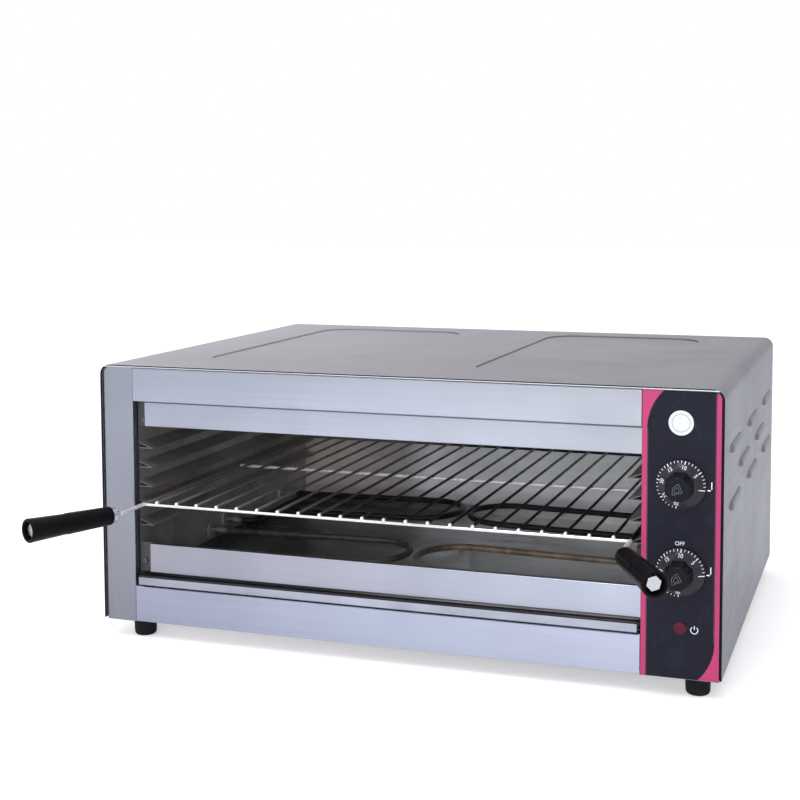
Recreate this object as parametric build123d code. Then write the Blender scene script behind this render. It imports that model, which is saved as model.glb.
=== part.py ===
from build123d import *
import math
import os

# Electric cheese melter: a wide steel box, open at the front, with heating
# rods above and below a sliding wire rack, a crumb tray under the lower rods
# and a control panel on the right. Sizes are in millimetres.
# While the pieces are made, X = 0 is the middle of the casing, Y = 0 is its
# front edge with +Y into the machine, and Z = 0 is its underside. At the end
# they all move together, so that the origin is the bottom centre of the whole
# machine, with Z = 0 on the worktop.

# Casing
CASE_WIDTH = 800.0
CASE_DEPTH = 600.0
CASE_HEIGHT = 334.0
WRAP_SHEET = 1.2
WRAP_CORNER_R = 13.0
WRAP_HEM = 8.0
WRAP_FLANGE = 11.0
PANEL_SHEET = 1.0
BEND_R = 2.0
FIT_GAP = 0.3
CUT_OVERRUN = 1.0

# Shallow rounded rectangles pressed into the top and into the cavity's back
EMBOSS_DEPTH = 1.6
EMBOSS_LENGTH = 460.0
EMBOSS_WIDTH = 230.0
EMBOSS_R = 45.0
EMBOSS_SPACING = 372.0
EMBOSS_SHIFT_Y = 18.0
REAR_EMBOSS_WIDTH = 245.0
REAR_EMBOSS_HEIGHT = 145.0
REAR_EMBOSS_R = 24.0
REAR_EMBOSS_SPACING = 305.0
REAR_EMBOSS_DROP = 20.0

# Pressed air louvres on the right side
LOUVRE_LENGTH = 86.0
LOUVRE_HEIGHT = 9.5
LOUVRE_REACH = 4.0
LOUVRE_PITCH_Y = 195.0
LOUVRE_PITCH_Z = 34.0
LOUVRE_TOP_Z = 252.0
LOUVRE_SHIFT_Y = 10.0
LOUVRE_ROW_COUNTS = (3, 2, 3)
LOUVRE_SLOT_MARGIN = 2.0

# Front face
FACE_SETBACK = 2.5
HOOD_SETBACK = 6.0
POST_WIDTH = 45.5
CONTROL_WIDTH = 94.0
POST_RETURN = 18.0
CONTROL_RETURN = 11.0
HEADER_BOTTOM = 287.0
HEADER_RETURN = 20.0
HOOD_BOTTOM = 254.5
LOWER_PANEL_TOP = 101.0
LOWER_PANEL_BOTTOM = 62.5
BOTTOM_PANEL_TOP = 45.0
BOTTOM_PANEL_RETURN = 8.0
PANEL_DROP = 2.5
HOOD_SIDE_REVEAL = 15.5
LOWER_SIDE_REVEAL = 20.5
CONTROL_SHEET = 1.5
OVERLAY_SHEET = 0.5
OVERLAY_MARGIN = 0.6

# Cavity
WALL_REVEAL = 2.0
WALL_FRONT = 14.0
TAB_WIDTH = 24.0
TAB_SCREW_INSET = 6.2
HOOD_SCREW_UP = 7.5
LOWER_SCREW_UP = 13.5
CAVITY_REAR_SPACE = 50.0
CEILING_Z = 285.0
RUNNER_COUNT = 5
RUNNER_PITCH = 25.3
RUNNER_FIRST_Z = 123.2
RUNNER_REACH = 20.0
RUNNER_RISE = 8.0
RUNNER_END_GAP = 10.0

# Wire rack and its two handles
RACK_LEVEL = 1
RACK_REAR_GAP = 10.0
RACK_FRONT = -3.0
RACK_SIDE_GAP = 11.25
ROD_D = 5.0
RIM_D = 4.5
RIM_INSET = 1.0
WIRE_D = 3.0
WIRE_PITCH = 28.3
WELD_BITE = 0.4
CROSSBAR_Y = 276.0
ARM_LENGTH = 53.0
ARM_BEND_R = 12.0
HANDLE_SPLAY = 26.5
HANDLE_START = 3.5
GRIP_LENGTH = 114.0
GRIP_D_INNER = 23.0
GRIP_D_OUTER = 29.5
GRIP_EDGE_R = 1.8
GRIP_RECESS_D = 22.5
GRIP_RECESS_DEPTH = 11.0
HANDLE_BOLT_D = 8.0
HANDLE_BOLT_EXPOSED = 7.0
BOLT_HEAD_AF = 16.0
BOLT_HEAD_H = 6.0
BOLT_HEAD_CHAMFER = 0.8
BOLT_HEAD_TURN = 15.0
WASHER_D = 18.5
WASHER_T = 5.5

# Crumb tray
TRAY_SHEET = 1.0
TRAY_SIDE_GAP = 5.25
TRAY_FRONT = -2.0
TRAY_REAR_GAP = 22.0
TRAY_FLOOR_Z = 47.5
TRAY_HEIGHT = 13.0
TRAY_PULL = 9.0
TRAY_RUNNER_SHEET = 1.5
TRAY_RUNNER_LEG = 18.0

# Heating rods: hairpins that enter through the side walls
ELEMENT_D = 8.5
ELEMENT_TIP_GAP = 8.25
ELEMENT_TIP_RISE = 5.0
RISE_START = 24.0
EASE_R = 40.0
LOWER_ELEMENT_Z = 72.5
LOWER_REAR_LIFT = 5.0
UPPER_ELEMENT_Z = 266.0
FRONT_HAIRPIN_Y = 148.0
REAR_HAIRPIN_Y = 390.0
HAIRPIN_PITCH = 122.0
JOGGLE_Y = 74.0
JOGGLE_X = 50.0
JOGGLE_R = 18.0
ELEMENT_TAIL = 14.0
BUSH_D = 22.0
BUSH_T = 3.0
TERMINAL_D = 6.0
TERMINAL_LENGTH = 12.0
HANGER_SHEET = 1.2
HANGER_WIDTH = 12.0
HANGER_GAP = 0.2
TURN_SLACK = 0.01
BUSH_FIT = 0.1

# Controls
DIAL_X = 46.0
UPPER_DIAL_Z = 224.0
LOWER_DIAL_Z = 122.5
LAMP_Z = 57.0
LABEL_DROP = 40.0
LABEL_D = 28.5
LABEL_T = 0.4
LABEL_SHIFT_X = -1.0
SKIRT_D = 57.0
SKIRT_TOP_D = 36.0
SKIRT_EDGE = 3.5
SKIRT_HEIGHT = 11.0
CAP_AF = 31.5
CAP_SIDES = 8
CAP_HEIGHT = 22.0
CAP_TAPER = 4.5
CAP_EDGE = 1.2
SKIRT_HOLLOW = 3.0
KNOB_BORE_FIT = 0.1
KNOB_GAP = 1.2
SHAFT_D = 6.0
SHAFT_FIT = 0.08
SHAFT_IN_KNOB = 20.0
SHAFT_IN_TIMER = 18.0
BUSHING_D = 12.0
TIMER_WIDTH = 44.0
TIMER_DEPTH = 34.0
TIMER_CORNER_R = 3.0
HOLE_CLEARANCE = 0.4
LAMP_D = 15.5
LAMP_BODY_D = 12.0
LAMP_BODY_LENGTH = 30.0
LAMP_DOME = 1.6
LAMP_NUT_D = 17.5
LAMP_NUT_T = 4.0

# Base, back and small parts
FOOT_HEIGHT = 25.5
FOOT_D_TOP = 31.0
FOOT_D_BOTTOM = 28.0
FOOT_LEFT_INSET = 45.0
FOOT_RIGHT_INSET = 30.0
FOOT_FRONT_INSET = 27.0
FOOT_SCREW_D = 5.0
FOOT_SCREW_HEAD_D = 10.0
FOOT_SCREW_RECESS = 8.0
FOOT_SCREW_HEAD_H = 4.0
FOOT_SCREW_TAIL = 8.0
FOOT_NUT_D = 10.0
FOOT_NUT_T = 4.0
FOOT_RECESS_SPACE = 1.0
FOOT_EDGE_R = 4.5
WALL_NOTCH_SPACE = 2.0
REAR_PANEL_SETBACK = 3.0
REAR_SLOT_LENGTH = 40.0
REAR_SLOT_HEIGHT = 5.0
REAR_SLOT_PITCH = 14.0
REAR_SLOT_COUNT = 6
REAR_SCREW_INSET = 60.0
REAR_SCREW_COUNT = 4
BASE_FLANGE = 12.0
GLAND_Z = 42.0
GLAND_BORE = 9.0
GLAND_LENGTH = 16.0
GLAND_NECK_D = 15.4
GLAND_NECK_INSIDE = 10.0
GLAND_NUT_D = 26.0
GLAND_INNER_NUT_D = 24.0
GLAND_NUT_T = 5.0
GLAND_DOME_D = 20.0
GLAND_DOME_R = 4.0
TERMINAL_BLOCK_WIDTH = 24.0
TERMINAL_BLOCK_LENGTH = 46.0
TERMINAL_BLOCK_HEIGHT = 20.0
TERMINAL_BLOCK_FROM_REAR = 90.0
TERMINAL_HOLE_D = 5.0
TERMINAL_HOLE_DEPTH = 8.0
TERMINAL_PITCH = 14.0
SCREW_HEAD_D = 7.5
SCREW_HEAD_H = 2.2
SCREW_D = 3.6
SCREW_LENGTH = 8.0
SCREW_EDGE_R = 1.0
SCREW_SLOT_LENGTH = 4.0
SCREW_SLOT_WIDTH = 0.8
SCREW_SLOT_DEPTH = 1.0
SHIELD_GAP = 14.0

# Places that follow from the sizes above
HALF_WIDTH = CASE_WIDTH / 2
POST_RIGHT = -HALF_WIDTH + POST_WIDTH
CONTROL_LEFT = HALF_WIDTH - CONTROL_WIDTH
CAVITY_LEFT = POST_RIGHT + WALL_REVEAL
CAVITY_RIGHT = CONTROL_LEFT + WALL_REVEAL
CAVITY_MIDDLE = (CAVITY_LEFT + CAVITY_RIGHT) / 2
CAVITY_HALF = (CAVITY_RIGHT - CAVITY_LEFT) / 2
BASE_TOP = 2 * WRAP_SHEET
CAVITY_REAR = CASE_DEPTH - CAVITY_REAR_SPACE
LABEL_Z = CASE_HEIGHT - LABEL_DROP
ELEMENT_REACH = CAVITY_HALF - ELEMENT_TIP_GAP
PANEL_RIGHT = CONTROL_LEFT - FIT_GAP
REAR_FACE = CASE_DEPTH - REAR_PANEL_SETBACK
RACK_HALF = CAVITY_HALF - RACK_SIDE_GAP - ROD_D / 2
RACK_DEPTH = CAVITY_REAR - RACK_REAR_GAP - RACK_FRONT
WIRE_COUNT = int(2 * RACK_HALF / WIRE_PITCH)
TRAY_DEPTH = CAVITY_REAR - TRAY_REAR_GAP - TRAY_FRONT
DIAL_CENTRE_X = CONTROL_LEFT + DIAL_X
OVERLAY_FRONT = FACE_SETBACK - OVERLAY_SHEET
PANEL_BACK = FACE_SETBACK + CONTROL_SHEET
KNOB_BACK = OVERLAY_FRONT - KNOB_GAP
FLANGE_FRONT = PANEL_BACK + FIT_GAP
RUNNER_ANGLE = math.atan2(RUNNER_RISE, RUNNER_REACH)
ROD_FROM_WALL = RACK_SIDE_GAP + ROD_D / 2
RACK_Z = (
    RUNNER_FIRST_Z
    + RACK_LEVEL * RUNNER_PITCH
    + RUNNER_RISE * (1 - ROD_FROM_WALL / RUNNER_REACH)
    + (ROD_D / 2 + FIT_GAP) / math.cos(RUNNER_ANGLE)
)
FOOT_PLACES = [
    (x, y)
    for x in (-HALF_WIDTH + FOOT_LEFT_INSET, HALF_WIDTH - FOOT_RIGHT_INSET)
    for y in (FOOT_FRONT_INSET, CASE_DEPTH - FOOT_FRONT_INSET)
]


def block(x_low, x_high, y_low, y_high, z_low, z_high):
    """A box between the given limits."""
    middle = ((x_low + x_high) / 2, (y_low + y_high) / 2, (z_low + z_high) / 2)
    return Pos(*middle) * Box(x_high - x_low, y_high - y_low, z_high - z_low)


def rod_y(x, z, y_low, y_high, diameter):
    """A round bar from front to back."""
    bar = Cylinder(diameter / 2, y_high - y_low)
    return Pos(x, (y_low + y_high) / 2, z) * Rot(X=90) * bar


def rod_x(y, z, x_low, x_high, diameter):
    """A round bar from left to right."""
    bar = Cylinder(diameter / 2, x_high - x_low)
    return Pos((x_low + x_high) / 2, y, z) * Rot(Y=90) * bar


def rod_z(x, y, z_low, z_high, diameter):
    """An upright round bar."""
    bar = Cylinder(diameter / 2, z_high - z_low)
    return Pos(x, y, (z_low + z_high) / 2) * bar


def bent_rod(points, radii, diameter):
    """A round bar along straight runs joined by tangent arcs."""
    path = FilletPolyline(*points, radius=radii)
    section = Plane(origin=path @ 0, z_dir=path % 0) * Circle(diameter / 2)
    return sweep(section, path=path)


def rear_cone(x, z, y_back, y_front, d_back, d_front):
    """A round taper whose axis runs from the back face to the front face."""
    height = y_back - y_front
    taper = Cone(d_back / 2, d_front / 2, height)
    return Pos(x, (y_back + y_front) / 2, z) * Rot(X=90) * taper


def group(pieces):
    """Separate solids kept together under one name."""
    return Compound([solid for piece in pieces for solid in piece.solids()])


def wrap_section(inset, z_low):
    """The casing's outline seen from the front, drawn in by inset."""
    half = HALF_WIDTH - inset
    top = CASE_HEIGHT - inset
    plate = Pos(0, (z_low + top) / 2) * Rectangle(2 * half, top - z_low)
    corners = plate.vertices().sort_by(Axis.Y)[-2:]
    return fillet(corners, max(WRAP_CORNER_R - inset, 0.5))


def outline_solid(inset, z_low, y_low, y_high):
    """The outline of wrap_section as a solid from y_low to y_high."""
    face = Plane.XZ * wrap_section(inset, z_low)
    return Pos(0, y_low, 0) * extrude(face, amount=y_high - y_low, dir=(0, 1, 0))


def channel(width, depth, sheet, length):
    """A folded sheet: a face along X with two returns along +Y, drawn up along Z.

    The two bends are round on the outside and on the inside.
    """
    outer = Pos(width / 2, depth / 2) * Rectangle(width, depth)
    outer = fillet(outer.vertices().sort_by(Axis.Y)[:2], BEND_R)
    inner = Pos(width / 2, depth / 2 + sheet) * Rectangle(width - 2 * sheet, depth)
    inner = fillet(inner.vertices().sort_by(Axis.Y)[:2], BEND_R - sheet * 0.9)
    return extrude(outer - inner, amount=length)


def wide_channel(x_low, x_high, y_front, depth, z_low, z_high):
    """A folded panel with its returns at the top and at the bottom."""
    plane = Plane(origin=(x_high, y_front, z_low), x_dir=(0, 0, 1), z_dir=(-1, 0, 0))
    return plane * channel(z_high - z_low, depth, PANEL_SHEET, x_high - x_low)


def screw_y(x, z, y_face):
    """A pan-head screw whose head lies on the face at y_face, driven backwards."""
    head = rod_y(x, z, y_face - SCREW_HEAD_H, y_face, SCREW_HEAD_D)
    head = fillet(head.edges().filter_by(GeomType.CIRCLE).sort_by(Axis.Y)[:1], SCREW_EDGE_R)
    front = y_face - SCREW_HEAD_H
    half = SCREW_SLOT_LENGTH / 2
    thin = SCREW_SLOT_WIDTH / 2
    slot_wide = block(x - half, x + half, front, front + SCREW_SLOT_DEPTH, z - thin, z + thin)
    slot_high = block(x - thin, x + thin, front, front + SCREW_SLOT_DEPTH, z - half, z + half)
    shank = rod_y(x, z, y_face, y_face + SCREW_LENGTH, SCREW_D)
    return head + shank - slot_wide - slot_high


# ---------------------------------------------------------------- casing


def louvre_places():
    """The middle of each louvre on the side, as Y and Z, in staggered rows."""
    places = []
    for row, count in enumerate(LOUVRE_ROW_COUNTS):
        z = LOUVRE_TOP_Z - row * LOUVRE_PITCH_Z
        for index in range(count):
            offset = (index - (count - 1) / 2) * LOUVRE_PITCH_Y
            places.append((CASE_DEPTH / 2 + LOUVRE_SHIFT_Y + offset, z))
    return places


def louvre_hood(y, z):
    """A pressed hood: half of a long rounded bump, open along its lower edge."""
    half = LOUVRE_LENGTH / 2
    radius = LOUVRE_HEIGHT
    bump = Pos(0, y, z) * Rot(X=90) * Cylinder(radius, LOUVRE_LENGTH)
    ends = Sphere(radius)
    bump += Pos(0, y - half, z) * ends
    bump += Pos(0, y + half, z) * ends
    flat = Pos(HALF_WIDTH, 0, 0) * scale(bump, by=(LOUVRE_REACH / radius, 1, 1))
    reach = half + radius + CUT_OVERRUN
    outside = block(HALF_WIDTH, HALF_WIDTH + radius, y - reach, y + reach, z, z + radius + CUT_OVERRUN)
    return flat & outside


def louvre_hollow(y, z):
    """The space under a hood, through the casing's sheet."""
    half = LOUVRE_LENGTH / 2
    radius = LOUVRE_HEIGHT - WRAP_SHEET
    reach = LOUVRE_REACH - WRAP_SHEET
    bump = Pos(0, y, z) * Rot(X=90) * Cylinder(radius, LOUVRE_LENGTH)
    bump += Pos(0, y - half, z) * Sphere(radius)
    bump += Pos(0, y + half, z) * Sphere(radius)
    flat = Pos(HALF_WIDTH, 0, 0) * scale(bump, by=(reach / radius, 1, 1))
    low = z - CUT_OVERRUN
    slot = block(HALF_WIDTH - 2 * WRAP_SHEET, HALF_WIDTH, y - half, y + half,
                 low, z + radius - LOUVRE_SLOT_MARGIN)
    outside = block(HALF_WIDTH - WRAP_SHEET / 2, HALF_WIDTH + radius,
                    y - half - radius - CUT_OVERRUN, y + half + radius + CUT_OVERRUN,
                    low, z + radius + CUT_OVERRUN)
    return (flat & outside) + slot


def pressed_rectangles(width, length, radius, spacing):
    """Two rounded rectangles side by side, as a sketch."""
    plate = RectangleRounded(width, length, radius)
    return Pos(-spacing / 2, 0) * plate + Pos(spacing / 2, 0) * plate


def make_casing_wrap():
    """Top and two sides from one bent sheet, with a folded front edge."""
    shell = outline_solid(0, 0, 0, CASE_DEPTH)
    shell -= outline_solid(WRAP_SHEET, WRAP_SHEET, WRAP_HEM, CASE_DEPTH)
    shell -= outline_solid(2 * WRAP_SHEET, WRAP_SHEET, 0, WRAP_HEM)
    opening = HALF_WIDTH - WRAP_FLANGE
    shell -= block(-opening, opening, 0, CASE_DEPTH, 0, WRAP_SHEET)
    inner = HALF_WIDTH - 2 * WRAP_SHEET
    shell -= block(-inner, inner, -CUT_OVERRUN, FLANGE_FRONT, -CUT_OVERRUN, WRAP_SHEET + CUT_OVERRUN)
    middle_y = CASE_DEPTH / 2 + EMBOSS_SHIFT_Y
    pan_top = CASE_HEIGHT - EMBOSS_DEPTH
    pan = Pos(0, middle_y, pan_top - WRAP_SHEET) * extrude(
        pressed_rectangles(EMBOSS_WIDTH + 2 * WRAP_SHEET, EMBOSS_LENGTH + 2 * WRAP_SHEET,
                           EMBOSS_R + WRAP_SHEET, EMBOSS_SPACING),
        amount=EMBOSS_DEPTH)
    hollow = Pos(0, middle_y, pan_top) * extrude(
        pressed_rectangles(EMBOSS_WIDTH, EMBOSS_LENGTH, EMBOSS_R, EMBOSS_SPACING),
        amount=EMBOSS_DEPTH)
    shell = shell + pan - hollow
    for y, z in louvre_places():
        shell += louvre_hood(y, z)
        shell -= louvre_hollow(y, z)
    return shell


def make_base_pan():
    """The floor sheet, which lies on the wrap's bottom flanges."""
    half = HALF_WIDTH - 2 * WRAP_SHEET - FIT_GAP
    front = FACE_SETBACK + PANEL_SHEET + BEND_R
    rear = REAR_FACE - PANEL_SHEET
    pan = block(-half, half, front, rear, WRAP_SHEET, BASE_TOP)
    pan += block(-half, half, rear - WRAP_SHEET, rear, BASE_TOP, BASE_TOP + BASE_FLANGE)
    for x, y in FOOT_PLACES:
        pan -= rod_z(x, y, 0, BASE_TOP + CUT_OVERRUN, FOOT_SCREW_D + HOLE_CLEARANCE)
    return pan


def rear_screw_places():
    """Screws along the base's rear flange, as X and Z."""
    low = BASE_TOP + BASE_FLANGE / 2
    first = -HALF_WIDTH + REAR_SCREW_INSET
    pitch = -2 * first / (REAR_SCREW_COUNT - 1)
    return [(first + index * pitch, low) for index in range(REAR_SCREW_COUNT)]


def make_rear_panel():
    """The back, let into the wrap, with vent slots behind the controls."""
    front = REAR_FACE - PANEL_SHEET
    panel = outline_solid(WRAP_SHEET + FIT_GAP, BASE_TOP + FIT_GAP, front, REAR_FACE)
    slot = RectangleRounded(REAR_SLOT_LENGTH, REAR_SLOT_HEIGHT, REAR_SLOT_HEIGHT * 0.45)
    for index in range(REAR_SLOT_COUNT):
        z = LOUVRE_TOP_Z - index * REAR_SLOT_PITCH
        cut = Plane(origin=(DIAL_CENTRE_X, front - CUT_OVERRUN, z), x_dir=(-1, 0, 0), z_dir=(0, 1, 0))
        panel -= extrude(cut * slot, amount=PANEL_SHEET + 2 * CUT_OVERRUN)
    hole = GLAND_NECK_D + HOLE_CLEARANCE
    low = front - CUT_OVERRUN
    high = REAR_FACE + CUT_OVERRUN
    panel -= rod_y(DIAL_CENTRE_X, GLAND_Z, low, high, hole)
    for x, z in rear_screw_places():
        panel -= rod_y(x, z, low, high, SCREW_D + HOLE_CLEARANCE)
    return panel


def make_rear_screws():
    """The screws that hold the back to the base flange."""
    heads = []
    for x, z in rear_screw_places():
        head = rod_y(x, z, REAR_FACE, REAR_FACE + SCREW_HEAD_H, SCREW_HEAD_D)
        rear_edge = head.edges().filter_by(GeomType.CIRCLE).sort_by(Axis.Y)[-1:]
        shank = rod_y(x, z, REAR_FACE - PANEL_SHEET, REAR_FACE, SCREW_D)
        heads.append(fillet(rear_edge, SCREW_EDGE_R) + shank)
    return group(heads)


def above_base(panel, sheet):
    """An upright whose folded edges stand on the base; only its face hangs below."""
    low = -PANEL_DROP - CUT_OVERRUN
    return panel - block(-HALF_WIDTH, HALF_WIDTH, FACE_SETBACK + sheet, CASE_DEPTH, low, BASE_TOP)


def make_left_front_post():
    """The upright at the left of the opening, folded back at both edges."""
    left = -HALF_WIDTH + 2 * WRAP_SHEET + FIT_GAP
    height = CASE_HEIGHT + PANEL_DROP
    post = channel(POST_RIGHT - left, POST_RETURN, PANEL_SHEET, height)
    post = Pos(left, FACE_SETBACK, -PANEL_DROP) * post
    post &= outline_solid(2 * WRAP_SHEET + FIT_GAP, -PANEL_DROP, 0, CASE_DEPTH)
    return above_base(post, PANEL_SHEET)


def make_header_panel():
    """The wide panel above the opening."""
    top = CASE_HEIGHT - 2 * WRAP_SHEET - FIT_GAP
    left = POST_RIGHT + FIT_GAP
    return wide_channel(left, PANEL_RIGHT, FACE_SETBACK, HEADER_RETURN, HEADER_BOTTOM, top)


def recessed_panel(side_reveal, z_low, z_high):
    """A set-back strip between the cavity's two walls, with closed ends."""
    depth = WALL_FRONT - HOOD_SETBACK
    left = POST_RIGHT + side_reveal
    strip = wide_channel(left, PANEL_RIGHT, HOOD_SETBACK, depth, z_low, z_high)
    low = z_low + PANEL_SHEET / 2
    high = z_high - PANEL_SHEET / 2
    back = HOOD_SETBACK + depth
    face = HOOD_SETBACK + PANEL_SHEET / 2
    strip += block(left, left + PANEL_SHEET, face, back, low, high)
    strip += block(PANEL_RIGHT - PANEL_SHEET, PANEL_RIGHT, face, back, low, high)
    return strip


def make_hood_panel():
    """The strip that hides the upper heating rods."""
    return recessed_panel(HOOD_SIDE_REVEAL, HOOD_BOTTOM, HEADER_BOTTOM - FIT_GAP)


def make_lower_front_panel():
    """The strip between the opening and the crumb tray."""
    return recessed_panel(LOWER_SIDE_REVEAL, LOWER_PANEL_BOTTOM, LOWER_PANEL_TOP)


def make_bottom_front_panel():
    """The panel under the crumb tray; its lower return lies under the base."""
    left = POST_RIGHT + FIT_GAP
    return wide_channel(left, PANEL_RIGHT, FACE_SETBACK, BOTTOM_PANEL_RETURN, -PANEL_DROP,
                        BOTTOM_PANEL_TOP)


def control_holes(y_low, y_high):
    """The cuts for the two dial bushings and the lamp."""
    hole = BUSHING_D + HOLE_CLEARANCE
    cuts = rod_y(DIAL_CENTRE_X, UPPER_DIAL_Z, y_low, y_high, hole)
    cuts += rod_y(DIAL_CENTRE_X, LOWER_DIAL_Z, y_low, y_high, hole)
    lamp = LAMP_BODY_D + HOLE_CLEARANCE
    return cuts + rod_y(DIAL_CENTRE_X, LAMP_Z, y_low, y_high, lamp)


def make_control_panel():
    """The upright that carries the dials, folded back at both edges."""
    right = HALF_WIDTH - 2 * WRAP_SHEET - FIT_GAP
    height = CASE_HEIGHT + PANEL_DROP
    panel = channel(right - CONTROL_LEFT, CONTROL_RETURN, CONTROL_SHEET, height)
    panel = Pos(CONTROL_LEFT, FACE_SETBACK, -PANEL_DROP) * panel
    panel &= outline_solid(2 * WRAP_SHEET + FIT_GAP, -PANEL_DROP, 0, CASE_DEPTH)
    return above_base(panel, CONTROL_SHEET) - control_holes(0, PANEL_BACK + CUT_OVERRUN)


def make_control_overlay():
    """The printed film over the whole control panel."""
    inset = 2 * WRAP_SHEET + FIT_GAP + OVERLAY_MARGIN
    film = block(CONTROL_LEFT + OVERLAY_MARGIN, HALF_WIDTH - inset, OVERLAY_FRONT, FACE_SETBACK,
                 OVERLAY_MARGIN - PANEL_DROP, CASE_HEIGHT)
    film &= outline_solid(inset, -PANEL_DROP, 0, CASE_DEPTH)
    return film - control_holes(OVERLAY_FRONT - CUT_OVERRUN, FACE_SETBACK + CUT_OVERRUN)


# ---------------------------------------------------------------- cavity


def mirror_in_cavity(shape):
    """The same piece on the other side of the cavity's middle plane."""
    plane = Plane(origin=(CAVITY_MIDDLE, 0, 0), x_dir=(0, 1, 0), z_dir=(1, 0, 0))
    return mirror(shape, about=plane)


def mirrored_group(pieces):
    """A group of solids on the other side of the cavity."""
    return group([mirror_in_cavity(solid) for solid in pieces.solids()])


def hairpin_lines(middle_y):
    """The two arms of a hairpin, as Y places."""
    return middle_y - HAIRPIN_PITCH / 2, middle_y + HAIRPIN_PITCH / 2


def entry_places():
    """Where the heating rods pass a side wall, as Y and Z."""
    places = []
    for z, rear_lift in ((LOWER_ELEMENT_Z, LOWER_REAR_LIFT), (UPPER_ELEMENT_Z, 0)):
        near, far = hairpin_lines(FRONT_HAIRPIN_Y)
        places += [(near, z), (far, z)]
        near, far = hairpin_lines(REAR_HAIRPIN_Y)
        places += [(near - JOGGLE_Y, z + rear_lift), (far, z + rear_lift)]
    return places


def make_left_cavity_wall():
    """A side of the cavity, with a tab behind each end of the front strips.

    Its lower edge is notched round the nuts of the feet.
    """
    outer = CAVITY_LEFT - PANEL_SHEET
    wall = block(outer, CAVITY_LEFT, WALL_FRONT, CAVITY_REAR, BASE_TOP, CEILING_Z)
    tab_right = CAVITY_LEFT + TAB_WIDTH
    tab_back = WALL_FRONT + PANEL_SHEET
    low_x = outer - CUT_OVERRUN
    high_x = CAVITY_LEFT + CUT_OVERRUN
    for low, high in ((LOWER_PANEL_BOTTOM, LOWER_PANEL_TOP), (HOOD_BOTTOM, CEILING_Z)):
        wall += block(CAVITY_LEFT, tab_right, WALL_FRONT, tab_back, low, high)
    for y, z in entry_places():
        wall -= rod_x(y, z, low_x, high_x, ELEMENT_D + HOLE_CLEARANCE)
    for x, z in tab_screw_places():
        wall -= rod_y(x, z, WALL_FRONT - CUT_OVERRUN, tab_back + CUT_OVERRUN, SCREW_D + HOLE_CLEARANCE)
    notch_top = BASE_TOP + FOOT_SCREW_TAIL + WALL_NOTCH_SPACE
    notch_half = FOOT_NUT_D / 2 + WALL_NOTCH_SPACE
    for y in sorted({place[1] for place in FOOT_PLACES}):
        wall -= block(low_x, high_x, y - notch_half, y + notch_half, 0, notch_top)
    return wall


def tab_screw_places():
    """The screws that show beside the left ends of the front strips."""
    x = CAVITY_LEFT + TAB_SCREW_INSET
    return [(x, HOOD_BOTTOM + HOOD_SCREW_UP), (x, LOWER_PANEL_BOTTOM + LOWER_SCREW_UP)]


def make_tab_screws():
    """One screw at each of the left wall's tabs."""
    return group([screw_y(x, z, WALL_FRONT) for x, z in tab_screw_places()])


def make_right_cavity_wall():
    """The other side of the cavity, from the same pressing, handed."""
    return mirror_in_cavity(make_left_cavity_wall())


def make_left_rack_runners():
    """Five folded ledges: a flat underside and a slope that rises to the wall."""
    slope_sheet = PANEL_SHEET / math.cos(RUNNER_ANGLE)
    inner_tip = RUNNER_REACH * (1 - (PANEL_SHEET + slope_sheet) / RUNNER_RISE)
    front = WALL_FRONT
    rear = CAVITY_REAR - RUNNER_END_GAP
    ledges = []
    for level in range(RUNNER_COUNT):
        z = RUNNER_FIRST_Z + level * RUNNER_PITCH
        fold = Polyline(
            (CAVITY_LEFT, z),
            (CAVITY_LEFT + RUNNER_REACH, z),
            (CAVITY_LEFT, z + RUNNER_RISE),
            (CAVITY_LEFT, z + RUNNER_RISE - slope_sheet),
            (CAVITY_LEFT + inner_tip, z + PANEL_SHEET),
            (CAVITY_LEFT, z + PANEL_SHEET),
            close=True)
        face = Plane.XZ * make_face(fold)
        ledges.append(Pos(0, front, 0) * extrude(face, amount=rear - front, dir=(0, 1, 0)))
    return group(ledges)


def make_right_rack_runners():
    """The matching ledges on the right."""
    return mirrored_group(make_left_rack_runners())


def make_cavity_rear_wall():
    """The cavity's back, with two pressed rounded rectangles."""
    left = CAVITY_LEFT - PANEL_SHEET
    right = CAVITY_RIGHT + PANEL_SHEET
    rear = CAVITY_REAR + PANEL_SHEET
    wall = block(left, right, CAVITY_REAR, rear, BASE_TOP, CEILING_Z)
    middle_z = (LOWER_PANEL_TOP + CEILING_Z) / 2 - REAR_EMBOSS_DROP
    plane = Plane(origin=(CAVITY_MIDDLE, CAVITY_REAR + EMBOSS_DEPTH, middle_z),
                  x_dir=(1, 0, 0), z_dir=(0, -1, 0))
    outer = pressed_rectangles(REAR_EMBOSS_WIDTH + 2 * PANEL_SHEET,
                               REAR_EMBOSS_HEIGHT + 2 * PANEL_SHEET,
                               REAR_EMBOSS_R + PANEL_SHEET, REAR_EMBOSS_SPACING)
    inner = pressed_rectangles(REAR_EMBOSS_WIDTH, REAR_EMBOSS_HEIGHT,
                               REAR_EMBOSS_R, REAR_EMBOSS_SPACING)
    pan = extrude(plane.offset(-PANEL_SHEET) * outer, amount=EMBOSS_DEPTH)
    hollow = extrude(plane * inner, amount=EMBOSS_DEPTH)
    return wall + pan - hollow


def make_cavity_ceiling():
    """The sheet that closes the cavity above the upper heating rods."""
    left = CAVITY_LEFT - PANEL_SHEET
    right = CAVITY_RIGHT + PANEL_SHEET
    rear = CAVITY_REAR + PANEL_SHEET
    return block(left, right, WALL_FRONT, rear, CEILING_Z, CEILING_Z + PANEL_SHEET)


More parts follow.
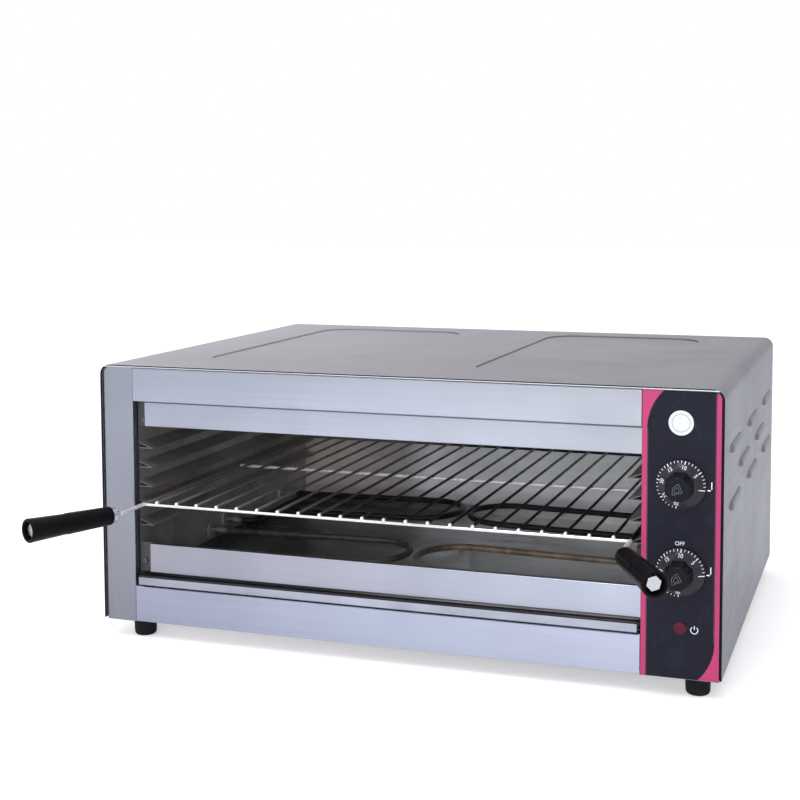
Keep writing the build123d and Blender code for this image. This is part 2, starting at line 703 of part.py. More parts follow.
def make_heat_shield():
    """The upright sheet between the hot wall and the control space."""
    left = CAVITY_RIGHT + SHIELD_GAP
    rear = REAR_FACE - PANEL_SHEET - WRAP_SHEET
    top = CASE_HEIGHT - WRAP_SHEET - EMBOSS_DEPTH - WRAP_SHEET - FIT_GAP
    front = FACE_SETBACK + POST_RETURN + FIT_GAP
    shield = block(left, left + PANEL_SHEET, front, rear, BASE_TOP, top)
    for y, z in entry_places():
        shield -= rod_x(y, z, left - CUT_OVERRUN, left + PANEL_SHEET + CUT_OVERRUN, 2 * ELEMENT_D)
    return shield


# ---------------------------------------------------------------- heating rods


def hairpin(middle_y, z, rise, joggled):
    """One left-hand heating rod: two arms joined by a half turn near the middle.

    Past the wall both arms climb gently, by the given rise at their tip. A
    joggled rod's near arm enters the wall further forward.
    """
    near, far = hairpin_lines(middle_y)
    start = CAVITY_LEFT - PANEL_SHEET - ELEMENT_TAIL
    tip = CAVITY_LEFT + ELEMENT_REACH
    turn = HAIRPIN_PITCH / 2 - TURN_SLACK
    level = CAVITY_LEFT + RISE_START
    top = z + rise
    if joggled:
        knee = CAVITY_LEFT + JOGGLE_X
        entry = near - JOGGLE_Y
        lead = [(start, entry, z), (knee, entry, z), (knee, near, z)]
        lead_radii = [JOGGLE_R, JOGGLE_R]
    else:
        lead = [(start, near, z), (level, near, z)]
        lead_radii = [EASE_R]
    if rise == 0:
        points = [(tip, near, z), (tip, far, z), (start, far, z)]
        radii = [turn, turn]
        if not joggled:
            lead = lead[:1]
            lead_radii = []
    else:
        points = [(tip, near, top), (tip, far, top), (level, far, z), (start, far, z)]
        radii = [turn, turn, EASE_R]
    return bent_rod(lead + points, lead_radii + radii, ELEMENT_D)


def make_left_elements(z, rise, rear_lift):
    """The front and rear rods on the left of one level."""
    front = hairpin(FRONT_HAIRPIN_Y, z, rise, False)
    rear = hairpin(REAR_HAIRPIN_Y, z + rear_lift, rise, True)
    return group([front, rear])


def make_left_element_bushes():
    """A collar on the cavity side of the wall round each rod."""
    collars = []
    for y, z in entry_places():
        collar = rod_x(y, z, CAVITY_LEFT, CAVITY_LEFT + BUSH_T, BUSH_D)
        low_x = CAVITY_LEFT - CUT_OVERRUN
        high_x = CAVITY_LEFT + BUSH_T + CUT_OVERRUN
        bore = rod_x(y, z, low_x, high_x, ELEMENT_D + BUSH_FIT)
        collars.append(collar - bore)
    return group(collars)


def make_left_terminals():
    """The connection pins at the rods' cold ends."""
    end = CAVITY_LEFT - PANEL_SHEET - ELEMENT_TAIL
    pins = [rod_x(y, z, end - TERMINAL_LENGTH, end, TERMINAL_D) for y, z in entry_places()]
    return group(pins)


def make_upper_element_hangers():
    """Bent straps that hold the upper rods up near their turns."""
    straps = []
    tip_left = CAVITY_LEFT + ELEMENT_REACH - HAIRPIN_PITCH / 2
    tip_right = 2 * CAVITY_MIDDLE - tip_left
    under = UPPER_ELEMENT_Z - ELEMENT_D / 2 - HANGER_GAP
    for x in (tip_left - HANGER_WIDTH, tip_right + HANGER_WIDTH):
        for middle_y in (FRONT_HAIRPIN_Y, REAR_HAIRPIN_Y):
            for side, y in zip((-1, 1), hairpin_lines(middle_y)):
                straps.append(hanger(x, y, side, under))
    return group(straps)


def hanger(x, y, side, under):
    """One strap: a leg beside the rod and a foot below it."""
    low_x = x - HANGER_WIDTH / 2
    high_x = x + HANGER_WIDTH / 2
    leg_near = y + side * (ELEMENT_D / 2 + HANGER_GAP)
    leg_far = leg_near + side * HANGER_SHEET
    foot_end = y - side * ELEMENT_D / 2
    leg = block(low_x, high_x, min(leg_near, leg_far), max(leg_near, leg_far),
                under - HANGER_SHEET, CEILING_Z)
    foot = block(low_x, high_x, min(foot_end, leg_far), max(foot_end, leg_far),
                 under - HANGER_SHEET, under)
    return leg + foot


# ---------------------------------------------------------------- rack


def rack_rods():
    """The X places of the rack's two side rods."""
    return CAVITY_MIDDLE - RACK_HALF, CAVITY_MIDDLE + RACK_HALF


def make_rack_grid():
    """Wires from front to back, welded on two rims and a cross bar."""
    left, right = rack_rods()
    rear = RACK_FRONT + RACK_DEPTH
    rim_from_end = RIM_INSET + RIM_D / 2
    wire_z = RACK_Z + RIM_D / 2 + WIRE_D / 2 - WELD_BITE
    grid = rod_x(RACK_FRONT + rim_from_end, RACK_Z, left, right, RIM_D)
    grid += rod_x(rear - rim_from_end, RACK_Z, left, right, RIM_D)
    grid += rod_x(CROSSBAR_Y, RACK_Z, left, right, RIM_D)
    for x in (left, right):
        grid += rod_y(x, RACK_Z, RACK_FRONT, rear, ROD_D)
    for index in range(WIRE_COUNT):
        x = CAVITY_MIDDLE + (index - (WIRE_COUNT - 1) / 2) * WIRE_PITCH
        grid += rod_y(x, wire_z, RACK_FRONT, rear, WIRE_D)
    return grid


def handle_axis():
    """The left handle's start point and its outward direction."""
    angle = math.radians(HANDLE_SPLAY)
    direction = Vector(-math.sin(angle), -math.cos(angle), 0)
    knee = Vector(rack_rods()[0], RACK_FRONT - ARM_LENGTH, RACK_Z)
    return knee, direction


def handle_plane(distance):
    """A plane square to the left handle's axis, that far along it."""
    knee, direction = handle_axis()
    return Plane(origin=knee + direction * distance, x_dir=(0, 0, 1), z_dir=direction)


def make_left_handle_arm():
    """The rod that carries the handle, bent outwards in front of the rack."""
    knee, direction = handle_axis()
    end = knee + direction * HANDLE_START
    start = (knee.X, RACK_FRONT, RACK_Z)
    limit = (HANDLE_START - 1) / math.tan(math.radians(HANDLE_SPLAY) / 2)
    return bent_rod([start, tuple(knee), tuple(end)], min(ARM_BEND_R, limit), ROD_D)


def grip_start():
    """Distance along the handle's axis to the grip's inner end."""
    return HANDLE_START + HANDLE_BOLT_EXPOSED + WASHER_T


def make_left_grip():
    """A tapered grip with a through bore and a recess for the bolt's head."""
    body = Cone(GRIP_D_INNER / 2, GRIP_D_OUTER / 2, GRIP_LENGTH)
    body = fillet(body.edges().filter_by(GeomType.CIRCLE), GRIP_EDGE_R)
    recess_z = GRIP_LENGTH / 2 - GRIP_RECESS_DEPTH
    body -= Pos(0, 0, recess_z + GRIP_RECESS_DEPTH) * Cylinder(GRIP_RECESS_D / 2, 2 * GRIP_RECESS_DEPTH)
    body -= Cylinder((HANDLE_BOLT_D + HOLE_CLEARANCE) / 2, GRIP_LENGTH + 2 * CUT_OVERRUN)
    return handle_plane(grip_start() + GRIP_LENGTH / 2) * body


def make_left_handle_washer():
    """The plain washer at the grip's inner end."""
    disc = Cylinder(WASHER_D / 2, WASHER_T) - Cylinder((HANDLE_BOLT_D + HOLE_CLEARANCE) / 2, WASHER_T)
    return handle_plane(grip_start() - WASHER_T / 2) * disc


def make_left_handle_bolt():
    """A long hexagon bolt through the grip, welded to the end of the arm."""
    seat = grip_start() + GRIP_LENGTH - GRIP_RECESS_DEPTH
    shank_length = seat - HANDLE_START
    shank = handle_plane(HANDLE_START) * extrude(Circle(HANDLE_BOLT_D / 2), amount=shank_length)
    hexagon = RegularPolygon(BOLT_HEAD_AF / 2, 6, major_radius=False, rotation=BOLT_HEAD_TURN)
    head = extrude(hexagon, amount=BOLT_HEAD_H)
    head = chamfer(head.faces().sort_by(Axis.Z)[-1].edges(), BOLT_HEAD_CHAMFER)
    return shank + handle_plane(seat) * head


# ---------------------------------------------------------------- crumb tray


def make_crumb_tray():
    """A shallow tray whose front edge folds back as a finger pull."""
    left = CAVITY_LEFT + TRAY_SIDE_GAP
    right = CAVITY_RIGHT - TRAY_SIDE_GAP
    rear = TRAY_FRONT + TRAY_DEPTH
    top = TRAY_FLOOR_Z + TRAY_HEIGHT
    tray = block(left, right, TRAY_FRONT, rear, TRAY_FLOOR_Z, top)
    front_edges = tray.edges().filter_by(Axis.X).sort_by(Axis.Y)[:2]
    tray = fillet(front_edges, BEND_R)
    tray -= block(left + TRAY_SHEET, right - TRAY_SHEET, TRAY_FRONT + TRAY_SHEET,
                  TRAY_FRONT + TRAY_PULL, TRAY_FLOOR_Z + TRAY_SHEET, top - TRAY_SHEET)
    tray -= block(left + TRAY_SHEET, right - TRAY_SHEET, TRAY_FRONT + TRAY_PULL,
                  rear - TRAY_SHEET, TRAY_FLOOR_Z + TRAY_SHEET, top)
    return tray


def make_left_tray_runner():
    """An angle on the wall, under the tray's edge."""
    top = TRAY_FLOOR_Z - FIT_GAP
    low = top - TRAY_RUNNER_SHEET
    rear = CAVITY_REAR - RUNNER_END_GAP
    ledge = block(CAVITY_LEFT, CAVITY_LEFT + TRAY_RUNNER_LEG, WALL_FRONT, rear, low, top)
    leg = block(CAVITY_LEFT, CAVITY_LEFT + TRAY_RUNNER_SHEET, WALL_FRONT, rear,
                low - TRAY_RUNNER_LEG, low)
    return ledge + leg


# ---------------------------------------------------------------- controls


def make_knob_skirt(z):
    """The dial's round skirt, bevelled for its scale."""
    edge = KNOB_BACK - SKIRT_EDGE
    front = KNOB_BACK - SKIRT_HEIGHT
    skirt = rod_y(DIAL_CENTRE_X, z, edge, KNOB_BACK, SKIRT_D)
    skirt += rear_cone(DIAL_CENTRE_X, z, edge, front, SKIRT_D, SKIRT_TOP_D)
    hollow = BUSHING_D + SKIRT_HOLLOW
    skirt -= rod_y(DIAL_CENTRE_X, z, KNOB_BACK - SKIRT_HOLLOW, KNOB_BACK + CUT_OVERRUN, hollow)
    return skirt - rod_y(DIAL_CENTRE_X, z, front - CUT_OVERRUN, KNOB_BACK, SHAFT_D + KNOB_BORE_FIT)


def make_knob_cap(z):
    """The dial's eight-sided grip, slightly tapered."""
    back = KNOB_BACK - SKIRT_HEIGHT
    plane = Plane(origin=(DIAL_CENTRE_X, back, z), x_dir=(1, 0, 0), z_dir=(0, -1, 0))
    flat_up = Rot(Z=180 / CAP_SIDES)
    wide = flat_up * RegularPolygon(CAP_AF / 2, CAP_SIDES, major_radius=False)
    narrow = flat_up * RegularPolygon((CAP_AF - CAP_TAPER) / 2, CAP_SIDES, major_radius=False)
    cap = loft([plane * wide, plane.offset(CAP_HEIGHT) * narrow])
    front_edges = cap.faces().sort_by(Axis.Y)[0].edges()
    cap = chamfer(front_edges, CAP_EDGE)
    depth = SHAFT_IN_KNOB - SKIRT_HEIGHT
    return cap - rod_y(DIAL_CENTRE_X, z, back - depth, back, SHAFT_D + KNOB_BORE_FIT)


def make_knob_shaft(z):
    """The dial's spindle, from inside the cap into the timer."""
    front = KNOB_BACK - SHAFT_IN_KNOB + FIT_GAP
    return rod_y(DIAL_CENTRE_X, z, front, PANEL_BACK + SHAFT_IN_TIMER, SHAFT_D)


def make_timer(z):
    """The timer switch behind the panel, with its bushing through the panel."""
    half = TIMER_WIDTH / 2
    body = block(DIAL_CENTRE_X - half, DIAL_CENTRE_X + half, PANEL_BACK, PANEL_BACK + TIMER_DEPTH,
                 z - half, z + half)
    body = fillet(body.edges().filter_by(Axis.Y), TIMER_CORNER_R)
    body += rod_y(DIAL_CENTRE_X, z, KNOB_BACK + FIT_GAP, PANEL_BACK + 1, BUSHING_D)
    bore_end = PANEL_BACK + SHAFT_IN_TIMER + FIT_GAP
    return body - rod_y(DIAL_CENTRE_X, z, KNOB_BACK, bore_end, SHAFT_D + 2 * SHAFT_FIT)


def make_lamp_lens():
    """The indicator's low round lens."""
    back = OVERLAY_FRONT
    lens = rod_y(DIAL_CENTRE_X, LAMP_Z, back - LAMP_DOME, back, LAMP_D)
    return fillet(lens.edges().filter_by(GeomType.CIRCLE).sort_by(Axis.Y)[:1], LAMP_DOME * 0.9)


def make_lamp_body():
    """The indicator's holder behind the panel, with its clamping nut."""
    body = rod_y(DIAL_CENTRE_X, LAMP_Z, OVERLAY_FRONT, OVERLAY_FRONT + LAMP_BODY_LENGTH, LAMP_BODY_D)
    nut = RegularPolygon(LAMP_NUT_D / 2, 6)
    plane = Plane(origin=(DIAL_CENTRE_X, PANEL_BACK, LAMP_Z), x_dir=(-1, 0, 0), z_dir=(0, 1, 0))
    return body + extrude(plane * nut, amount=LAMP_NUT_T)


def make_round_label():
    """A plain round label near the top of the control panel."""
    x = DIAL_CENTRE_X + LABEL_SHIFT_X
    return rod_y(x, LABEL_Z, OVERLAY_FRONT - LABEL_T, OVERLAY_FRONT, LABEL_D)


def make_cord_gland():
    """The cord's entry at the back: a nut inside, a body and a domed nut outside."""
    plane = Plane(origin=(DIAL_CENTRE_X, REAR_FACE, GLAND_Z), x_dir=(-1, 0, 0), z_dir=(0, 1, 0))
    gland = extrude(plane * RegularPolygon(GLAND_NUT_D / 2, 6), amount=GLAND_NUT_T)
    dome_length = GLAND_LENGTH - GLAND_NUT_T
    dome_middle = plane.offset(GLAND_NUT_T + dome_length / 2)
    dome = dome_middle * Cylinder(GLAND_DOME_D / 2, dome_length)
    gland += fillet(dome.edges().filter_by(GeomType.CIRCLE).sort_by(Axis.Y)[-1:], GLAND_DOME_R)
    inside = REAR_FACE - PANEL_SHEET
    gland += rod_y(DIAL_CENTRE_X, GLAND_Z, inside - GLAND_NECK_INSIDE, REAR_FACE + 1, GLAND_NECK_D)
    inner_nut = plane.offset(-PANEL_SHEET - GLAND_NUT_T) * RegularPolygon(GLAND_INNER_NUT_D / 2, 6)
    gland += extrude(inner_nut, amount=GLAND_NUT_T)
    bore_front = inside - GLAND_NECK_INSIDE - CUT_OVERRUN
    bore_rear = REAR_FACE + GLAND_LENGTH + CUT_OVERRUN
    return gland - rod_y(DIAL_CENTRE_X, GLAND_Z, bore_front, bore_rear, GLAND_BORE)


def make_terminal_block():
    """The block where the supply joins the wiring, on the base behind the timers."""
    half = TERMINAL_BLOCK_WIDTH / 2
    low_y = REAR_FACE - TERMINAL_BLOCK_FROM_REAR
    top = BASE_TOP + TERMINAL_BLOCK_HEIGHT
    body = block(DIAL_CENTRE_X - half, DIAL_CENTRE_X + half, low_y,
                 low_y + TERMINAL_BLOCK_LENGTH, BASE_TOP, top)
    middle = low_y + TERMINAL_BLOCK_LENGTH / 2
    for index in (-1, 0, 1):
        y = middle + index * TERMINAL_PITCH
        for x in (DIAL_CENTRE_X - half / 2, DIAL_CENTRE_X + half / 2):
            body -= rod_z(x, y, top - TERMINAL_HOLE_DEPTH, top + CUT_OVERRUN, TERMINAL_HOLE_D)
    return body


# ---------------------------------------------------------------- feet


def make_feet():
    """Four rubber feet, hollow below for their screws."""
    feet = []
    height = FOOT_HEIGHT + WRAP_SHEET
    for x, y in FOOT_PLACES:
        foot = Pos(x, y, WRAP_SHEET - height / 2) * Cone(FOOT_D_BOTTOM / 2, FOOT_D_TOP / 2, height)
        low_edge = foot.edges().filter_by(GeomType.CIRCLE).sort_by(Axis.Z)[:1]
        foot = fillet(low_edge, FOOT_EDGE_R)
        recess = FOOT_SCREW_HEAD_D + 2 * FOOT_RECESS_SPACE
        foot -= rod_z(x, y, -FOOT_HEIGHT, -FOOT_HEIGHT + FOOT_SCREW_RECESS, recess)
        foot -= rod_z(x, y, -FOOT_HEIGHT, WRAP_SHEET + CUT_OVERRUN, FOOT_SCREW_D + HOLE_CLEARANCE)
        feet.append(foot)
    return group(feet)


def make_foot_screws():
    """The screws up through the feet, each with a nut on the base."""
    screws = []
    seat = -FOOT_HEIGHT + FOOT_SCREW_RECESS
    for x, y in FOOT_PLACES:
        head = rod_z(x, y, seat - FOOT_SCREW_HEAD_H, seat, FOOT_SCREW_HEAD_D)
        shank = rod_z(x, y, seat, BASE_TOP + FOOT_SCREW_TAIL, FOOT_SCREW_D)
        nut = Pos(x, y, BASE_TOP) * extrude(RegularPolygon(FOOT_NUT_D / 2, 6), amount=FOOT_NUT_T)
        screws.append(head + shank + nut)
    return group(screws)


# ---------------------------------------------------------------- assembly


def make_parts():
    """Every piece by its name, in the casing's own coordinates."""
    parts = {
        "casing_wrap": make_casing_wrap(),
        "base_pan": make_base_pan(),
        "rear_panel": make_rear_panel(),
        "rear_screws": make_rear_screws(),
        "left_front_post": make_left_front_post(),
        "header_panel": make_header_panel(),
        "hood_panel": make_hood_panel(),
        "lower_front_panel": make_lower_front_panel(),
        "bottom_front_panel": make_bottom_front_panel(),
        "control_panel": make_control_panel(),
        "control_overlay": make_control_overlay(),
        "left_cavity_wall": make_left_cavity_wall(),
        "right_cavity_wall": make_right_cavity_wall(),
        "tab_screws": make_tab_screws(),
        "left_rack_runners": make_left_rack_runners(),
        "right_rack_runners": make_right_rack_runners(),
        "cavity_rear_wall": make_cavity_rear_wall(),
        "cavity_ceiling": make_cavity_ceiling(),
        "heat_shield": make_heat_shield(),
        "left_tray_runner": make_left_tray_runner(),
        "right_tray_runner": mirror_in_cavity(make_left_tray_runner()),
        "crumb_tray": make_crumb_tray(),
        "left_element_bushes": make_left_element_bushes(),
        "right_element_bushes": mirrored_group(make_left_element_bushes()),
        "left_terminals": make_left_terminals(),
        "right_terminals": mirrored_group(make_left_terminals()),
        "upper_element_hangers": make_upper_element_hangers(),
        "rack_grid": make_rack_grid(),
        "lamp_lens": make_lamp_lens(),
        "lamp_body": make_lamp_body(),
        "round_label": make_round_label(),
        "cord_gland": make_cord_gland(),
        "terminal_block": make_terminal_block(),
        "feet": make_feet(),
        "foot_screws": make_foot_screws(),
    }
    lower_elements = make_left_elements(LOWER_ELEMENT_Z, ELEMENT_TIP_RISE, LOWER_REAR_LIFT)
    upper_elements = make_left_elements(UPPER_ELEMENT_Z, 0, 0)
    for level, elements in (("lower", lower_elements), ("upper", upper_elements)):
        parts[f"{level}_left_elements"] = elements
        parts[f"{level}_right_elements"] = mirrored_group(elements)
    handle_makers = {
        "handle_arm": make_left_handle_arm,
        "handle_bolt": make_left_handle_bolt,
        "handle_washer": make_left_handle_washer,
        "grip": make_left_grip,
    }
    for name, maker in handle_makers.items():
        piece = maker()
        parts[f"left_{name}"] = piece
        parts[f"right_{name}"] = mirror_in_cavity(piece)
    for level, z in (("upper", UPPER_DIAL_Z), ("lower", LOWER_DIAL_Z)):
        parts[f"{level}_knob_skirt"] = make_knob_skirt(z)
        parts[f"{level}_knob_cap"] = make_knob_cap(z)
        parts[f"{level}_knob_shaft"] = make_knob_shaft(z)
        parts[f"{level}_timer"] = make_timer(z)
    return parts


def origin_shift(parts):
    """The move that puts the whole machine's bottom centre at the origin."""
    boxes = [shape.bounding_box() for shape in parts.values()]
    middle_x = (min(box.min.X for box in boxes) + max(box.max.X for box in boxes)) / 2
    middle_y = (min(box.min.Y for box in boxes) + max(box.max.Y for box in boxes)) / 2
    return Pos(-middle_x, -middle_y, FOOT_HEIGHT)


def main():
    """Write one STEP file for each piece and print the dials' places."""
    os.makedirs("parts", exist_ok=True)
    parts = make_parts()
    shift = origin_shift(parts)
    for name, shape in parts.items():
        export_step(shift * shape, f"parts/{name}.step")
    move = shift.position
    print("shift", round(move.X, 3), round(move.Y, 3), round(move.Z, 3))
    for name, z in (("upper", UPPER_DIAL_Z), ("lower", LOWER_DIAL_Z)):
        print(name, "dial axis", round(DIAL_CENTRE_X + move.X, 3), round(z + move.Z, 3))
    print("rack height", round(RACK_Z + move.Z, 3))


if __name__ == "__main__":
    main()
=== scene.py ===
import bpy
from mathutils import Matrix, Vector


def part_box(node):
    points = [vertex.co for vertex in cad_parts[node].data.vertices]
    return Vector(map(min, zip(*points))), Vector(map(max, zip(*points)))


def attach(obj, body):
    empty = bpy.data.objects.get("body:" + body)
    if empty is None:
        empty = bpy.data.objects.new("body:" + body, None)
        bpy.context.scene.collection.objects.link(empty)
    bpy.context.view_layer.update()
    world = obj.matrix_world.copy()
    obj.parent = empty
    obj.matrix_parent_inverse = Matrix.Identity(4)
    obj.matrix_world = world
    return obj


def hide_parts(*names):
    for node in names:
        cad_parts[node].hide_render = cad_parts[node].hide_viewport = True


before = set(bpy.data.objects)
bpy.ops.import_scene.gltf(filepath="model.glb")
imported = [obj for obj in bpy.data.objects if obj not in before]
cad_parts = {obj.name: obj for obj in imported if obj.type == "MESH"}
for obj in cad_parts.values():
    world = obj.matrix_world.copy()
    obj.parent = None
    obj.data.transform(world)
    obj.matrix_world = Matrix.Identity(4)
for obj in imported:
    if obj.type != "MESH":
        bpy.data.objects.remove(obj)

"""Dresses the cheese melter's frame: finishes, wire rack, grips, dials, printed film, studio and camera.

Lengths are in metres, in the frame's own axes: +X to the user's right, +Y from the open front to
the back, +Z up.
"""

import logging
import math
from dataclasses import dataclass
from enum import Enum
from typing import Sequence

import bmesh
import bpy
import numpy as np
from mathutils import Matrix

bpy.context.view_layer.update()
LOG = logging.getLogger("cheese_melter")
MM = 0.001
SMOOTH_ANGLE = math.radians(32)
MERGE_DISTANCE = 1e-6
CAPITAL_SHARE = 0.7
Array = np.ndarray
AHEAD = np.array([0.0, 1.0, 0.0])
ACROSS = np.array([1.0, 0.0, 0.0])
Socket = bpy.types.NodeSocket
Pair = tuple[float, float]
Triple = tuple[float, float, float]
Colour = Triple


# ------------------------------------------------------------------ surfaces


def closed_object(name: str, mesh: bpy.types.Mesh, material: bpy.types.Material) -> bpy.types.Object:
    """Turns a closed mesh outwards, shades it and links it as an object at the origin.

    Args:
        name: The piece's name.
        mesh: Closed mesh with its place in its vertices.
        material: The finish.

    Returns:
        The new object.
    """
    work = bmesh.new()
    work.from_mesh(mesh)
    bmesh.ops.remove_doubles(work, verts=work.verts, dist=1e-7)
    bmesh.ops.recalc_face_normals(work, faces=work.faces)
    work.to_mesh(mesh)
    work.free()
    mesh.polygons.foreach_set("use_smooth", np.ones(len(mesh.polygons), dtype=bool))
    mesh.set_sharp_from_angle(angle=SMOOTH_ANGLE)
    mesh.materials.append(material)
    piece = bpy.data.objects.new(name, mesh)
    bpy.context.scene.collection.objects.link(piece)
    return piece


class MeshBuffer:
    """Collects closed surfaces, each a grid of points, into one mesh."""

    def __init__(self) -> None:
        """Starts empty."""
        self.points: list[Array] = []
        self.faces: list[Sequence[int]] = []
        self.count = 0

    def add_rings(self, rings: Array) -> None:
        """Adds a tube of rings, closed round each ring and capped at both ends.

        Point (i, j) is ring i at place j; each quad joins places j and j + 1 of rings i and i + 1.

        Args:
            rings: Points of shape (rings, places, 3).
        """
        many, around = rings.shape[:2]
        index = np.arange(many * around).reshape(many, around) + self.count
        beside = np.roll(index, -1, axis=1)
        quads = np.stack([index[:-1], beside[:-1], beside[1:], index[1:]], axis=-1).reshape(-1, 4)
        self.points.append(rings.reshape(-1, 3))
        self.faces += quads.tolist()
        self.faces += [index[0][::-1].tolist(), index[-1].tolist()]
        self.count += many * around

    def add_mesh(self, points: Array, faces: Sequence[Sequence[int]]) -> None:
        """Adds ready points of shape (n, 3) and their faces."""
        self.points.append(points)
        self.faces += [[corner + self.count for corner in face] for face in faces]
        self.count += len(points)

    def add_loop(self, rings: Array) -> None:
        """Adds a tube whose last ring joins its first, such as a turned piece with a bore."""
        index = np.arange(rings.shape[0] * rings.shape[1]).reshape(rings.shape[:2])
        following = np.roll(index, -1, axis=0)
        quads = [index, np.roll(index, -1, axis=1), np.roll(following, -1, axis=1), following]
        self.add_mesh(rings.reshape(-1, 3), np.stack(quads, axis=-1).reshape(-1, 4).tolist())

    def build(self, name: str, material: bpy.types.Material) -> bpy.types.Object:
        """Makes the object from everything added so far."""
        mesh = bpy.data.meshes.new(name)
        mesh.from_pydata(np.concatenate(self.points).tolist(), [], self.faces)
        return closed_object(name, mesh, material)


def frame_axes(direction: Array) -> tuple[Array, Array]:
    """Two unit vectors square to a level direction: one level, one upright."""
    upright = np.array([0.0, 0.0, 1.0])
    return np.cross(direction, upright), upright


def turned(origin: Array, direction: Array, profile: Array, sides: int) -> Array:
    """A turned surface: profile row (s, r) goes to origin + s * direction + r * (cos t, sin t) across it.

    Args:
        origin: Where s is 0.
        direction: Unit vector of the level axis.
        profile: Rows of distance along the axis and radius.
        sides: Places round the axis.

    Returns:
        Rings of shape (rows, sides, 3).
    """
    level, upright = frame_axes(direction)
    turn = np.linspace(0, 2 * np.pi, sides, endpoint=False)
    spoke = np.cos(turn)[:, None] * level + np.sin(turn)[:, None] * upright
    along = origin + profile[:, :1] * direction
    return along[:, None, :] + profile[:, 1][:, None, None] * spoke


def rod_profile(length: float, radius: float, edge: float) -> Array:
    """Profile of a round bar whose two ends are broken by a quarter-round edge."""
    quarter = np.linspace(0, np.pi / 2, 4)
    rise = np.stack([edge * (1 - np.cos(quarter)), radius - edge + edge * np.sin(quarter)], axis=1)
    fall = np.stack([length - rise[::-1, 0], rise[::-1, 1]], axis=1)
    return np.concatenate([rise, fall])


def prism(outline: Array, low: float, high: float) -> tuple[Array, list[list[int]]]:
    """A plate between two Y places whose outline is given as X and Z.

    Args:
        outline: Corners of shape (n, 2), in order.
        low: Front face's Y.
        high: Back face's Y.

    Returns:
        Points and faces.
    """
    many = len(outline)
    front = np.stack([outline[:, 0], np.full(many, low), outline[:, 1]], axis=1)
    back = front + np.array([0.0, high - low, 0.0])
    ring = np.arange(many)
    beside = np.roll(ring, -1)
    sides = np.stack([ring, beside, beside + many, ring + many], axis=1).tolist()
    return np.concatenate([front, back]), [ring[::-1].tolist(), (ring + many).tolist()] + sides


def arc_points(centre: Pair, radius: float, start: float, end: float, steps: int) -> Array:
    """Points on a circle, centre + radius * (cos, sin), from start to end degrees."""
    turn = np.radians(np.linspace(start, end, steps))
    return np.array(centre) + radius * np.stack([np.cos(turn), np.sin(turn)], axis=1)


def text_mesh(words: str, height: float, thickness: float) -> tuple[Array, list[list[int]]]:
    """Generic characters as a thin solid, centred on the origin in X and Y, facing +Z.

    Args:
        words: Digits or plain capitals.
        height: Height of a capital.
        thickness: The solid's thickness.

    Returns:
        Points and faces.
    """
    curve = bpy.data.curves.new("characters", "FONT")
    curve.body = words
    curve.size = height / CAPITAL_SHARE
    curve.align_x = "CENTER"
    curve.align_y = "CENTER"
    curve.extrude = thickness / 2
    curve.resolution_u = 3
    holder = bpy.data.objects.new("characters", curve)
    bpy.context.scene.collection.objects.link(holder)
    bpy.context.view_layer.update()
    mesh = bpy.data.meshes.new_from_object(holder.evaluated_get(bpy.context.evaluated_depsgraph_get()))
    points = np.empty(len(mesh.vertices) * 3)
    mesh.vertices.foreach_get("co", points)
    points = points.reshape(-1, 3)
    faces = [list(face.vertices) for face in mesh.polygons]
    bpy.data.objects.remove(holder)
    bpy.data.meshes.remove(mesh)
    return points, faces


# ------------------------------------------------------------------ finishes


class Grain(Enum):
    """Direction of a brushed sheet's scratches, as the stretch of the noise along X, Y and Z."""

    ALONG_X = (3.0, 520.0, 520.0)
    ALONG_Y = (520.0, 3.0, 520.0)
    ALONG_Z = (520.0, 520.0, 3.0)


@dataclass(frozen=True)
class Fade:
    """A change of colour along one axis: places in metres, in rising order, and the colour at each."""

    axis: str
    stops: tuple[tuple[float, Colour], ...]


@dataclass(frozen=True)
class Zone:
    """A part of a piece with another colour laid on it, between limits given as (axis, from, to) in metres;
    here the zones are painted shades, shadows and highlights.
    """

    limits: tuple[tuple[str, float, float], ...]
    colour: Colour | Fade


